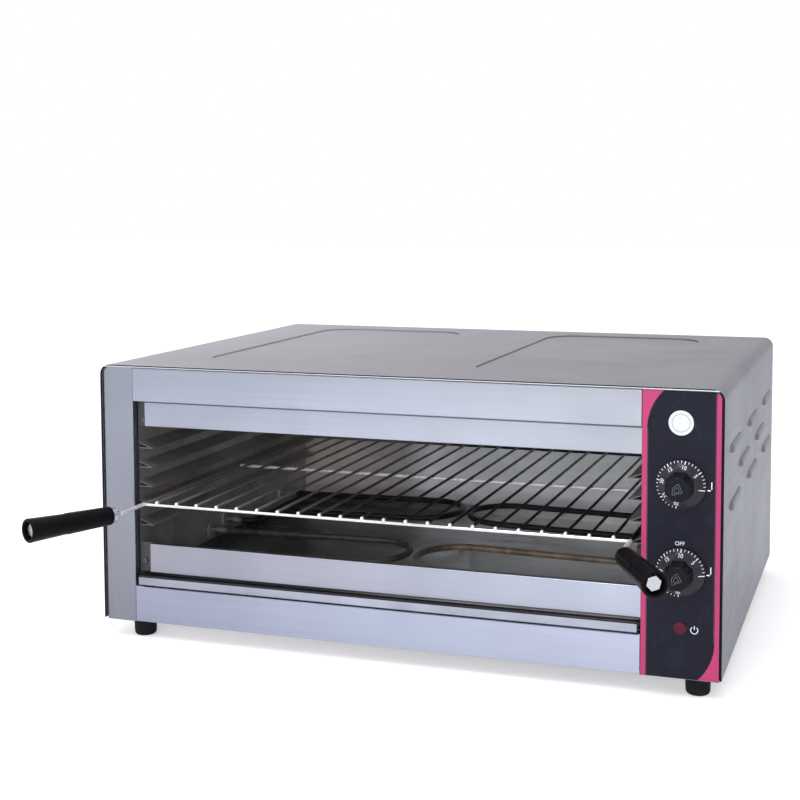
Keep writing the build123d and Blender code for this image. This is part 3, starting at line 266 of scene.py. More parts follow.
class Recipe:
    """A material under construction, with short ways to add its nodes."""

    def __init__(self, name: str) -> None:
        """Starts a material with a Principled shader."""
        self.material = bpy.data.materials.new(name)
        self.material.use_nodes = True
        self.nodes = self.material.node_tree.nodes
        self.links = self.material.node_tree.links
        self.shader = self.nodes["Principled BSDF"]
        self.coordinates = self.nodes.new("ShaderNodeTexCoord")

    def set(self, **values: object) -> None:
        """Sets shader sockets; an underscore in a name stands for a space."""
        for key, value in values.items():
            self.shader.inputs[key.replace("_", " ")].default_value = value

    def place(self, stretch: Triple = (1, 1, 1), shift: Triple = (0, 0, 0)) -> Socket:
        """Object coordinates, stretched and shifted."""
        mapping = self.nodes.new("ShaderNodeMapping")
        mapping.inputs["Scale"].default_value = stretch
        mapping.inputs["Location"].default_value = shift
        self.links.new(self.coordinates.outputs["Object"], mapping.inputs["Vector"])
        return mapping.outputs["Vector"]

    def noise(self, vector: Socket, scale: float, detail: float, warp: float = 0.0) -> Socket:
        """Fractal noise between 0 and 1."""
        node = self.nodes.new("ShaderNodeTexNoise")
        node.inputs["Scale"].default_value = scale
        node.inputs["Detail"].default_value = detail
        node.inputs["Distortion"].default_value = warp
        self.links.new(vector, node.inputs["Vector"])
        return node.outputs["Fac"]

    def remap(self, value: Socket, low: float, high: float, start: float = 0.3, end: float = 0.7) -> Socket:
        """Maps start..end to low..high, held at both ends."""
        node = self.nodes.new("ShaderNodeMapRange")
        node.inputs["From Min"].default_value = start
        node.inputs["From Max"].default_value = end
        node.inputs["To Min"].default_value = low
        node.inputs["To Max"].default_value = high
        self.links.new(value, node.inputs["Value"])
        return node.outputs["Result"]

    def math(self, operation: str, first: Socket, second: Socket | float) -> Socket:
        """One arithmetic step."""
        node = self.nodes.new("ShaderNodeMath")
        node.operation = operation
        self.put(node.inputs[0], first)
        self.put(node.inputs[1], second)
        return node.outputs[0]

    def put(self, socket: Socket, value: object) -> None:
        """Links a socket to another, or sets it to a number or a colour."""
        if isinstance(value, Socket):
            self.links.new(value, socket)
        else:
            socket.default_value = (*value, 1.0) if isinstance(value, tuple) else value

    def blend(self, share: Socket | float, first: object, second: object, kind: str = "MIX") -> Socket:
        """Mixes two colours, each a socket or three numbers."""
        node = self.nodes.new("ShaderNodeMix")
        node.data_type = "RGBA"
        node.blend_type = kind
        self.put(node.inputs["Factor"], share)
        self.put(node.inputs[6], first)
        self.put(node.inputs[7], second)
        return node.outputs[2]

    def axis(self, vector: Socket, name: str) -> Socket:
        """One coordinate of a vector."""
        node = self.nodes.new("ShaderNodeSeparateXYZ")
        self.links.new(vector, node.inputs[0])
        return node.outputs[name]

    def tint(self, colour: Colour | Fade) -> Colour | Socket:
        """A plain colour as it is, or a fade's colour at each point."""
        if not isinstance(colour, Fade):
            return colour
        first, last = colour.stops[0][0], colour.stops[-1][0]
        node = self.nodes.new("ShaderNodeValToRGB")
        ramp = node.color_ramp
        ramp.elements[0].color = (*colour.stops[0][1], 1.0)
        ramp.elements[1].color = (*colour.stops[-1][1], 1.0)
        for place, part in colour.stops[1:-1]:
            ramp.elements.new((place - first) / (last - first)).color = (*part, 1.0)
        share = self.remap(self.axis(self.place(), colour.axis), 0, 1, first, last)
        self.links.new(share, node.inputs["Fac"])
        return node.outputs["Color"]

    def shade(self, colour: Colour | Socket, level: Socket) -> Socket:
        """A colour multiplied by a level."""
        return self.blend(1.0, colour, level, "MULTIPLY")

    def inside(self, zone: Zone) -> Socket:
        """1 inside a zone's limits and 0 outside them."""
        parts = []
        for name, low, high in zone.limits:
            value = self.axis(self.place(), name)
            parts += [self.math("GREATER_THAN", value, low), self.math("LESS_THAN", value, high)]
        mask = parts[0]
        for part in parts[1:]:
            mask = self.math("MULTIPLY", mask, part)
        return mask

    def zoned(self, colour: Colour | Socket, zones: Sequence[Zone]) -> Colour | Socket:
        """A colour with each zone's own laid over it in turn."""
        for zone in zones:
            colour = self.blend(self.inside(zone), colour, self.tint(zone.colour))
        return colour

    def bump(self, height: Socket, strength: float, depth: float) -> None:
        """Roughens the surface by a height in metres."""
        node = self.nodes.new("ShaderNodeBump")
        node.inputs["Strength"].default_value = strength
        node.inputs["Distance"].default_value = depth
        self.links.new(height, node.inputs["Height"])
        self.links.new(node.outputs["Normal"], self.shader.inputs["Normal"])

    def feed(self, socket: str, value: Socket) -> None:
        """Links a value to one of the shader's sockets."""
        self.links.new(value, self.shader.inputs[socket])


def scaled(colour: Colour, share: float) -> Colour:
    """A colour made lighter or darker."""
    return tuple(min(1.0, part * share) for part in colour)


@dataclass(frozen=True)
class BrushedSheet:
    """Stainless sheet with a fine one-way grain, faint handling marks and a few dull patches."""

    name: str
    colour: Colour | Fade
    grain: Grain
    roughness: float = 0.3
    streak: float = 0.05
    patch: float = 0.06
    zones: tuple[Zone, ...] = ()
    grazing: Colour = (1.0, 1.0, 1.0)

    def make(self) -> bpy.types.Material:
        """Builds the material."""
        recipe = Recipe(self.name)
        lines = recipe.noise(recipe.place(self.grain.value), 1.0, 5.0)
        patches = recipe.noise(recipe.place(), 7.0, 3.0, 0.6)
        level = recipe.math("SUBTRACT", recipe.remap(lines, 1 - self.streak, 1 + self.streak),
                            recipe.remap(patches, 0, self.patch, 0.42, 0.75))
        colour = recipe.zoned(recipe.tint(self.colour), self.zones)
        recipe.feed("Base Color", recipe.shade(colour, level))
        rough = recipe.math("ADD", recipe.remap(lines, -0.04, 0.05), recipe.remap(patches, 0.0, 0.07))
        recipe.feed("Roughness", recipe.math("ADD", rough, self.roughness))
        recipe.bump(lines, 0.12, 0.00004)
        recipe.set(Metallic=1.0, Specular_Tint=(*self.grazing, 1.0))
        return recipe.material


@dataclass(frozen=True)
class HeatedSheet:
    """Cavity steel: dulled and browned by heat in clouds, with drips and wipe marks."""

    name: str
    colour: Colour | Fade
    roughness: float = 0.4
    metal: float = 0.3
    browning: float = 0.3
    zones: tuple[Zone, ...] = ()

    def make(self) -> bpy.types.Material:
        """Builds the material."""
        recipe = Recipe(self.name)
        clouds = recipe.noise(recipe.place(), 5.0, 5.0, 0.8)
        wipes = recipe.noise(recipe.place((9.0, 60.0, 60.0)), 1.0, 4.0, 0.4)
        level = recipe.math("SUBTRACT", recipe.remap(clouds, 1.0, 1 - self.browning, 0.38, 0.66),
                            recipe.remap(wipes, 0, 0.14))
        colour = recipe.zoned(recipe.tint(self.colour), self.zones)
        recipe.feed("Base Color", recipe.shade(colour, level))
        rough = recipe.math("ADD", recipe.remap(clouds, 0.0, 0.12), recipe.remap(wipes, 0.0, 0.08))
        recipe.feed("Roughness", recipe.math("ADD", rough, self.roughness))
        recipe.bump(wipes, 0.1, 0.00005)
        recipe.set(Metallic=self.metal)
        return recipe.material


@dataclass(frozen=True)
class OxidisedRod:
    """Heating rod sheath: dark and oxidised in clouds, over a colour that carries painted light and shade,
    and brighter at the cold ends near the walls, which also paints a highlight there.
    """

    name: str
    colour: Colour | Fade
    bare: Colour
    wall_from_middle: float
    middle_x: float
    zones: tuple[Zone, ...] = ()

    def make(self) -> bpy.types.Material:
        """Builds the material; the cold end's share grows with the distance from the cavity's middle."""
        recipe = Recipe(self.name)
        clouds = recipe.noise(recipe.place(), 60.0, 5.0, 0.5)
        # The zoned colour is painted light and shade; the clouds darken it as oxidation.
        oxide_and_painted_light = recipe.shade(recipe.zoned(recipe.tint(self.colour), self.zones),
                             recipe.remap(clouds, 0.55, 1.25, 0.35, 0.68))
        across = recipe.axis(recipe.place(shift=(-self.middle_x, 0, 0)), "X")
        distance = recipe.math("ABSOLUTE", across, 0.0)
        cold = recipe.remap(distance, 0, 1, self.wall_from_middle - 0.03, self.wall_from_middle - 0.012)
        # The cold ends' brighter colour is partly unoxidised metal and partly a painted highlight.
        recipe.feed("Base Color", recipe.blend(cold, oxide_and_painted_light, self.bare))
        recipe.feed("Roughness", recipe.remap(clouds, 0.34, 0.5))
        recipe.feed("Metallic", recipe.remap(cold, 0.3, 1.0, 0, 1))
        recipe.bump(clouds, 0.25, 0.0002)
        return recipe.material


@dataclass(frozen=True)
class BrightMetal:
    """Plated or drawn metal with a little unevenness and fine pits."""

    name: str
    colour: Colour | Fade
    roughness: float
    metal: float = 1.0
    zones: tuple[Zone, ...] = ()

    def make(self) -> bpy.types.Material:
        """Builds the material."""
        recipe = Recipe(self.name)
        mottle = recipe.noise(recipe.place(), 140.0, 4.0, 0.3)
        colour = recipe.zoned(recipe.tint(self.colour), self.zones)
        recipe.feed("Base Color", recipe.shade(colour, recipe.remap(mottle, 0.8, 1.0)))
        recipe.feed("Roughness", recipe.remap(mottle, self.roughness * 0.75, self.roughness * 1.5))
        recipe.bump(mottle, 0.12, 0.00008)
        recipe.set(Metallic=self.metal)
        return recipe.material


@dataclass(frozen=True)
class MouldedPlastic:
    """Moulded plastic or rubber: a soft gloss, faint flow lines and rubbed spots."""

    name: str
    colour: Colour
    roughness: float
    rubbed: float = 0.12
    gloss: float = 0.5
    coat: float = 0.0

    def make(self) -> bpy.types.Material:
        """Builds the material."""
        recipe = Recipe(self.name)
        fine = recipe.noise(recipe.place(), 900.0, 3.0)
        rubs = recipe.noise(recipe.place(), 45.0, 4.0, 1.2)
        worn = tuple(part * 1.6 + 0.002 for part in self.colour)
        recipe.feed("Base Color", recipe.blend(recipe.remap(rubs, 0, 0.6, 0.5, 0.75), self.colour, worn))
        recipe.feed("Roughness", recipe.remap(rubs, self.roughness, self.roughness + self.rubbed))
        recipe.bump(fine, 0.08, 0.00005)
        recipe.set(Specular_IOR_Level=self.gloss, Coat_Weight=self.coat, Coat_Roughness=0.08)
        return recipe.material


@dataclass(frozen=True)
class PrintedInk:
    """Screen-printed ink: an even colour with a slight mottle and a satin surface."""

    name: str
    colour: Colour
    roughness: float = 0.45

    def make(self) -> bpy.types.Material:
        """Builds the material."""
        recipe = Recipe(self.name)
        mottle = recipe.noise(recipe.place(), 260.0, 3.0)
        pale = tuple(min(1.0, part * 1.05 + 0.004) for part in self.colour)
        recipe.feed("Base Color", recipe.blend(recipe.remap(mottle, 0, 1), scaled(self.colour, 0.95), pale))
        recipe.feed("Roughness", recipe.remap(mottle, self.roughness - 0.04, self.roughness + 0.06))
        return recipe.material


@dataclass(frozen=True)
class PlainLabel:
    """A round label: pale ground with a grey ring, from the distance to its centre."""

    name: str
    centre: Triple
    radius: float
    ring: Pair = (0.66, 0.77)
    softness: float = 0.03

    def make(self) -> bpy.types.Material:
        """Builds the material; distance is the length of the vector from the centre."""
        recipe = Recipe(self.name)
        offset = recipe.place(shift=tuple(-part for part in self.centre))
        length = recipe.nodes.new("ShaderNodeVectorMath")
        length.operation = "LENGTH"
        recipe.links.new(offset, length.inputs[0])
        distance = length.outputs["Value"]
        low, high = self.ring
        inner = recipe.remap(distance, 0, 1, self.radius * low, self.radius * (low + self.softness))
        outer = recipe.remap(distance, 1, 0, self.radius * (high - self.softness), self.radius * high)
        ring = recipe.math("MULTIPLY", inner, outer)
        mottle = recipe.noise(recipe.place(), 300.0, 3.0)
        ground = recipe.blend(recipe.remap(mottle, 0, 1), (0.5, 0.51, 0.54), (0.58, 0.59, 0.62))
        recipe.feed("Base Color", recipe.blend(ring, ground, (0.3, 0.32, 0.36)))
        recipe.feed("Roughness", recipe.remap(mottle, 0.35, 0.45))
        return recipe.material


# Bounds of the zones, most of them measured from the casing's front edge or top. BEYOND is farther
# than any piece reaches.
FRONT_Y = -0.21736
TOP_Z = 0.3595
BEYOND = 1.0
# HEM bounds a painted dark reflection along the wrap's front edge; HEM_LIGHT bounds a painted highlight line
# on it near the top.
HEM = ("Y", -BEYOND, FRONT_Y + 0.0004)
HEM_LIGHT = ("Z", TOP_Z - 0.0027, TOP_Z - 0.0013)
# POST_RETURN bounds the returns of the post and control panel, painted a flat tone of their own as light and
# shade.
POST_RETURN = ("Y", FRONT_Y + 0.0037, BEYOND)
# WALL_TAB bounds the walls' front tabs, painted near black as shade.
WALL_TAB = ("Y", FRONT_Y, FRONT_Y + 0.0153)
# TRAY_LIP bounds the tray's front lip, painted lighter to the right as light; LIP_SHADOW bounds a painted
# shadow on its upper part.
TRAY_LIP = ("Y", -BEYOND, FRONT_Y + 0.0085)
LIP_SHADOW = ("Z", 0.0834, 0.2)
# WIRE_ENDS bounds the wires' front ends, painted near white as a highlight.
WIRE_ENDS = ("Y", -BEYOND, -0.2165)
# REAR_RODS bounds the rear rods, painted near black as shade.
REAR_RODS = ("Y", 0.03, BEYOND)
# The cavity's middle and the distance from it to a side wall, which place the rods' cold ends.
CAVITY_MIDDLE_X = -0.019602
WALL_FROM_MIDDLE = 0.33025
# The roughness that the front's level sheets share.
FRONT_ROUGHNESS = 0.32

# Painted light: the header and hood sheets are painted darker at the left and lighter to the right, as the
# light falls across the front.
HEADER_SHEET = BrushedSheet("header_sheet", Fade("X", (
    (-0.35, (0.323, 0.347, 0.423)), (0.0, (0.377, 0.405, 0.48)), (0.3, (0.383, 0.401, 0.456)))),
    Grain.ALONG_X, FRONT_ROUGHNESS)
# Painted light: the lower front panel is painted darker at the left and lighter to the right.
LOWER_SHEET = BrushedSheet("lower_sheet", Fade("X", (
    (-0.33, (0.285, 0.284, 0.34)), (0.3, (0.415, 0.443, 0.535)))), Grain.ALONG_X, FRONT_ROUGHNESS)
# Painted light: the bottom front panel is painted darker at the left and lighter to the right.
BOTTOM_SHEET = BrushedSheet("bottom_sheet", Fade("X", (
    (-0.35, (0.29, 0.302, 0.395)), (0.0, (0.376, 0.41, 0.52)), (0.3, (0.44, 0.47, 0.585)))),
    Grain.ALONG_X, FRONT_ROUGHNESS)
# Painted light and shade: the post and control panel are painted darker towards the bottom, and their returns
# a flat tone of their own.
POST_SHEET = BrushedSheet("post_sheet", Fade("Z", (
    (0.05, (0.222, 0.224, 0.264)), (0.3, (0.27, 0.286, 0.337)))),
    Grain.ALONG_Z, 0.34, zones=(Zone((POST_RETURN,), (0.3, 0.31, 0.345)),))
# Painted light and shade: the wrap is painted lightest at the left of its top and darkest on its right side,
# as the light falls, with its front hem painted near black and a painted highlight line near the top.
WRAP_SHEET = BrushedSheet("wrap_sheet", Fade("X", (
    (-0.39, (0.415, 0.405, 0.45)), (0.0, (0.29, 0.276, 0.314)),
    (0.375, (0.212, 0.217, 0.25)), (0.401, (0.176, 0.179, 0.216)))),
    Grain.ALONG_Y, 0.36, grazing=(0.86, 0.86, 0.87),
    zones=(Zone((HEM,), (0.012, 0.013, 0.017)), Zone((HEM, HEM_LIGHT), (0.6, 0.62, 0.66))))
# Painted shade: the cavity walls, ceiling and bushes are painted darker towards the front and lighter towards
# the rear, with the walls' front tabs near black.
WALL_STEEL = HeatedSheet("wall_steel", Fade("Y", (
    (-0.2, (0.17, 0.16, 0.158)), (-0.05, (0.34, 0.32, 0.315)), (0.1, (0.5, 0.475, 0.465)))),
    0.4, 0.1, zones=(Zone((WALL_TAB,), (0.055, 0.055, 0.058)),))
# Painted light and shade: the rear wall is painted darker and brownish at the left, and bright and bluish to
# the right as a painted reflection of the light at the opening.
REAR_STEEL = HeatedSheet("rear_steel", Fade("X", (
    (-0.35, (0.56, 0.515, 0.5)), (-0.175, (0.5, 0.47, 0.465)),
    (-0.13, (0.9, 0.93, 0.98)), (0.3, (0.93, 0.96, 1.0)))), 0.35, 0.0, 0.15)
# Painted light and shade: the tray floor is painted near black at the left and near white to the right, and
# its front lip lighter to the right, with a near black painted shadow on the lip's upper part.
TRAY_STEEL = HeatedSheet("tray_steel", Fade("X", (
    (-0.34, (0.12, 0.12, 0.13)), (-0.1, (0.2, 0.2, 0.21)), (0.0, (0.75, 0.75, 0.76)),
    (0.3, (0.95, 0.94, 0.95)))), 0.12, 0.45, 0.3,
    (Zone((TRAY_LIP,), Fade("X", ((-0.35, (0.33, 0.335, 0.41)), (0.3, (0.46, 0.49, 0.6))))),
     Zone((TRAY_LIP, LIP_SHADOW), (0.01, 0.01, 0.014))))
# Painted shade: the runners and hangers are painted darker towards the front and lighter towards the rear.
RUNNER_STEEL = HeatedSheet("runner_steel", Fade("Y", (
    (-0.2, (0.13, 0.122, 0.118)), (-0.05, (0.26, 0.245, 0.235)), (0.1, (0.42, 0.4, 0.385)))), 0.4, 0.1)
# Painted light and shade: the elements are painted dark on the left and lighter brown on the right, the rear
# rods near black, and their cold ends brighter, partly as a painted highlight.
RODS = OxidisedRod("oxidised_rod_painted_light", Fade("X", (
    (-0.33, (0.075, 0.068, 0.063)), (-0.03, (0.07, 0.062, 0.056)),
    (0.03, (0.21, 0.165, 0.12)), (0.3, (0.24, 0.19, 0.14)))),
    (0.75, 0.74, 0.72), WALL_FROM_MIDDLE, CAVITY_MIDDLE_X, (Zone((REAR_RODS,), (0.018, 0.017, 0.018)),))
FRONT_RIM = BrightMetal("front_rim", (0.74, 0.745, 0.77), 0.14)
# Painted highlight: the cross bar is painted near white with little metal, and lighter to the right.
CROSS_BAR = BrightMetal("cross_bar", Fade("X", (
    (-0.33, (0.7, 0.68, 0.66)), (0.0, (0.95, 0.95, 0.97)))), 0.3, 0.2)
# Painted light and shade: the rack's wirework and the handle arms are painted lighter to the left and near
# black to the right, with the wires' front ends near white as a painted highlight.
DARK_WIRE = BrightMetal("dark_wire", Fade("X", (
    (-0.33, (0.27, 0.248, 0.235)), (-0.16, (0.22, 0.202, 0.192)), (-0.07, (0.05, 0.047, 0.046)),
    (0.0, (0.014, 0.014, 0.017)), (0.3, (0.008, 0.008, 0.01)))),
    0.35, 0.4, (Zone((WIRE_ENDS,), (0.85, 0.85, 0.87)),))
PLATED = BrightMetal("plated_fixing", (0.5, 0.51, 0.55), 0.26)
TAB_FIXING = BrightMetal("tab_fixing", (0.12, 0.12, 0.13), 0.3)
BLACK_GLOSS = MouldedPlastic("black_gloss", (0.003, 0.003, 0.004), 0.3, 0.06, 0.06)
BLACK_SATIN = MouldedPlastic("black_satin", (0.005, 0.0055, 0.008), 0.3, 0.1, 0.1)
DIAL_BLACK = MouldedPlastic("dial_black", (0.019, 0.019, 0.026), 0.16, 0.06, 0.16)
TIMER_PLASTIC = MouldedPlastic("timer_plastic", (0.6, 0.58, 0.52), 0.5)
FOOT_RUBBER = MouldedPlastic("foot_rubber", (0.009, 0.0095, 0.011), 0.55, 0.1, 0.06)
LENS_RED = MouldedPlastic("lens_red", (0.06, 0.006, 0.018), 0.2, 0.06, 0.15)
DARK_FILM = MouldedPlastic("dark_film", (0.0095, 0.0098, 0.0185), 0.42, 0.08, 0.1)
PINK_INK = PrintedInk("pink_ink", (0.345, 0.02, 0.105))
SHADE_INK = PrintedInk("shade_ink", (0.075, 0.004, 0.034))
WHITE_INK = PrintedInk("white_ink", (0.7, 0.72, 0.78))
GREY_INK = PrintedInk("grey_ink", (0.17, 0.18, 0.22))


class Palette:
    """Makes each finish once and hands it out by name."""

    def __init__(self) -> None:
        """Starts empty."""
        self.made: dict[str, bpy.types.Material] = {}

    def get(self, finish: object) -> bpy.types.Material:
        """The material of a finish, built at its first use."""
        if finish.name not in self.made:
            self.made[finish.name] = finish.make()
        return self.made[finish.name]


def smoothing_tree() -> bpy.types.NodeTree:
    """A modifier tree that joins a node's loose triangles and shades its gentle edges smooth."""
    tree = bpy.data.node_groups.new("smooth_by_angle", "GeometryNodeTree")
    for way in ("INPUT", "OUTPUT"):
        tree.interface.new_socket("Geometry", in_out=way, socket_type="NodeSocketGeometry")
    start, merge, faces, edges, end, angle, sharp = (tree.nodes.new(kind) for kind in (
        "NodeGroupInput", "GeometryNodeMergeByDistance", "GeometryNodeSetShadeSmooth",
        "GeometryNodeSetShadeSmooth", "NodeGroupOutput", "GeometryNodeInputMeshEdgeAngle",
        "FunctionNodeCompare"))
    merge.inputs["Distance"].default_value = MERGE_DISTANCE
    faces.inputs["Shade Smooth"].default_value = True
    edges.domain = "EDGE"
    edges.inputs["Shade Smooth"].default_value = False
    sharp.data_type = "FLOAT"
    sharp.operation = "GREATER_THAN"
    sharp.inputs[1].default_value = SMOOTH_ANGLE
    for before, after in ((start, merge), (merge, faces), (faces, edges), (edges, end)):
        tree.links.new(before.outputs[0], after.inputs[0])
    tree.links.new(angle.outputs["Unsigned Angle"], sharp.inputs[0])
    tree.links.new(sharp.outputs["Result"], edges.inputs["Selection"])
    return tree


def middle_of(node: str) -> Array:
    """The middle of a node's box."""
    low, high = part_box(node)
    return (np.array(low) + np.array(high)) / 2


# ------------------------------------------------------------------ sub-assemblies


@dataclass
class SheetMetal:
    """The casing, cavity and small fixed parts: CAD nodes that keep their shape and get their finish."""

    palette: Palette

    def dress(self, table: dict[str, object]) -> None:
        """Gives each node its finish and smooth shading.

        Args:
            table: Finish of each node by the node's name.
        """
        tree = smoothing_tree()
        for name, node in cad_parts.items():
            finish = table[name]
            material = self.palette.get(finish)
            if not node.material_slots:
                node.data.materials.append(material)
            for place in node.material_slots:
                place.material = material
            modifier = node.modifiers.new("smooth_by_angle", "NODES")
            modifier.node_group = tree
            LOG.info("node %s: %s", name, finish.name)


@dataclass
class WireRack:
    """The welded rack: side rods, two rims, a cross bar and wires, each with broken ends."""

    palette: Palette
    rod_radius: float = 2.5 * MM
    rim_radius: float = 2.25 * MM
    wire_radius: float = 1.85 * MM
    rim_inset: float = 1.0 * MM
    bar_from_front: float = 279.0 * MM
    wires: int = 22
    wire_pitch: float = 28.3 * MM
    weld_bite: float = 0.4 * MM
    bead_length: float = 5.2 * MM
    bead_radius: float = 2.2 * MM
    bead_trim: float = 0.35
    rod_edge: float = 0.8 * MM
    rim_edge: float = 0.5 * MM
    wire_edge: float = 0.6 * MM
    rod_sides: int = 20
    wire_sides: int = 12
    bead_sides: int = 10

    def __post_init__(self) -> None:
        """Reads the rack's place from its node."""
        low, high = (np.array(corner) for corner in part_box("rack_grid"))
        self.front, self.rear = low[1], high[1]
        self.left = low[0] + self.rod_radius
        self.right = high[0] - self.rod_radius
        self.height = low[2] + self.rod_radius

    def build(self) -> None:
        """Makes the dark wirework, the bright front rim and the cross bar, all on the rack."""
        buffer = MeshBuffer()
        rim = MeshBuffer()
        bar = MeshBuffer()
        profile = rod_profile(self.rear - self.front, self.rod_radius, self.rod_edge)
        for x in (self.left, self.right):
            buffer.add_rings(turned(np.array([x, self.front, self.height]), AHEAD, profile, self.rod_sides))
        inset = self.rim_inset + self.rim_radius
        bars = (self.front + inset, self.rear - inset, self.front + self.bar_from_front)
        profile = rod_profile(self.right - self.left, self.rim_radius, self.rim_edge)
        for holder, y in zip((rim, buffer, bar), bars):
            holder.add_rings(turned(np.array([self.left, y, self.height]), ACROSS, profile, self.rod_sides))
        wire_height = self.height + self.rim_radius + self.wire_radius - self.weld_bite
        middle = (self.left + self.right) / 2
        offsets = (np.arange(self.wires) - (self.wires - 1) / 2) * self.wire_pitch
        profile = rod_profile(self.rear - self.front, self.wire_radius, self.wire_edge)
        for x in middle + offsets:
            buffer.add_rings(turned(np.array([x, self.front, wire_height]), AHEAD, profile, self.wire_sides))
            for y in bars:
                self.add_bead(buffer, np.array([x, y, wire_height - self.wire_radius]))
        wirework = buffer.build("rack_wirework", self.palette.get(DARK_WIRE))
        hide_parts("rack_grid")
        pieces = (wirework, rim.build("rack_front_rim", self.palette.get(FRONT_RIM)),
                  bar.build("rack_cross_bar", self.palette.get(CROSS_BAR)))
        for piece in pieces:
            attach(piece, "rack")
            LOG.info("piece %s", piece.name)

    def add_bead(self, buffer: MeshBuffer, centre: Array) -> None:
        """Adds a weld's flash: an ellipsoid, radius R * sqrt(1 - u * u) along u from -1 to 1."""
        share = np.cos(np.linspace(np.pi - self.bead_trim, self.bead_trim, 7))
        half = self.bead_length / 2
        profile = np.stack([half * share, self.bead_radius * np.sqrt(1 - share**2)], axis=1)
        buffer.add_rings(turned(centre, AHEAD, profile, self.bead_sides))


@dataclass
class Handle:
    """One handle's tapered grip, with a stepped waist and an end recess, placed from the rack's bent arm."""

    palette: Palette
    side: str
    rod_radius: float = 2.5 * MM
    splay: float = math.radians(26.5)
    arm_length: float = 53.0 * MM
    grip_start: float = 16.0 * MM
    grip_length: float = 114.0 * MM
    inner_radius: float = 11.5 * MM
    outer_radius: float = 14.75 * MM
    step_share: float = 0.55
    step_depth: float = 0.7 * MM
    step_width: float = 0.006
    step_lead: float = 0.03
    waist: Pair = (0.04, 0.97)
    recess_radius: float = 11.25 * MM
    recess_depth: float = 11.0 * MM
    bore_radius: float = 4.2 * MM
    edge: float = 1.8 * MM
    recess_edge: float = 0.4 * MM
    sides: int = 64

    def __post_init__(self) -> None:
        """Finds the handle's axis from the rack's place."""
        low, high = (np.array(corner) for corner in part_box("rack_grid"))
        sign = -1 if self.side == "left" else 1
        rod = low[0] + self.rod_radius if self.side == "left" else high[0] - self.rod_radius
        self.knee = np.array([rod, low[1] - self.arm_length, low[2] + self.rod_radius])
        self.direction = np.array([sign * math.sin(self.splay), -math.cos(self.splay), 0.0])

    def profile(self) -> Array:
        """Rows of distance and radius: over the rounded edges, along the waist and into the recess.

        The waist is a straight taper less a step, which is a logistic curve of the distance.
        """
        quarter = np.linspace(0, np.pi / 2, 6)
        soft = self.edge
        rounded = soft * np.sin(quarter) - soft
        start = np.stack([soft * (1 - np.cos(quarter)), self.inner_radius + rounded], axis=1)
        along = np.linspace(*self.waist, 48)
        radius = self.inner_radius + (self.outer_radius - self.inner_radius) * along
        step = 1 / (1 + np.exp(-(along - self.step_share) / self.step_width))
        swell = self.step_depth * (1 - (along - self.step_share) / (1 - self.step_share)) * step
        stepped = radius - swell * (along >= self.step_share - self.step_lead)
        body = np.stack([along * self.grip_length, stepped], axis=1)
        end = self.grip_length - soft * (1 - np.cos(quarter[::-1]))
        finish = np.stack([end, self.outer_radius + rounded[::-1]], axis=1)
        floor = self.grip_length - self.recess_depth
        lip = self.recess_edge
        recess = np.array([
            [self.grip_length, self.recess_radius + lip],
            [self.grip_length - lip, self.recess_radius],
            [floor + lip, self.recess_radius],
            [floor, self.recess_radius - lip],
            [floor, self.bore_radius],
        ])
        return np.concatenate([start, body, finish, recess])

    def build(self) -> None:
        """Makes the grip on the rack."""
        buffer = MeshBuffer()
        origin = self.knee + self.direction * self.grip_start
        loop = np.concatenate([[[0.0, self.bore_radius]], self.profile()])
        buffer.add_loop(turned(origin, self.direction, loop, self.sides))
        piece = buffer.build(f"{self.side}_moulded_grip", self.palette.get(BLACK_GLOSS))
        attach(piece, "rack")
        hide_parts(f"{self.side}_grip")
        LOG.info("piece %s", piece.name)


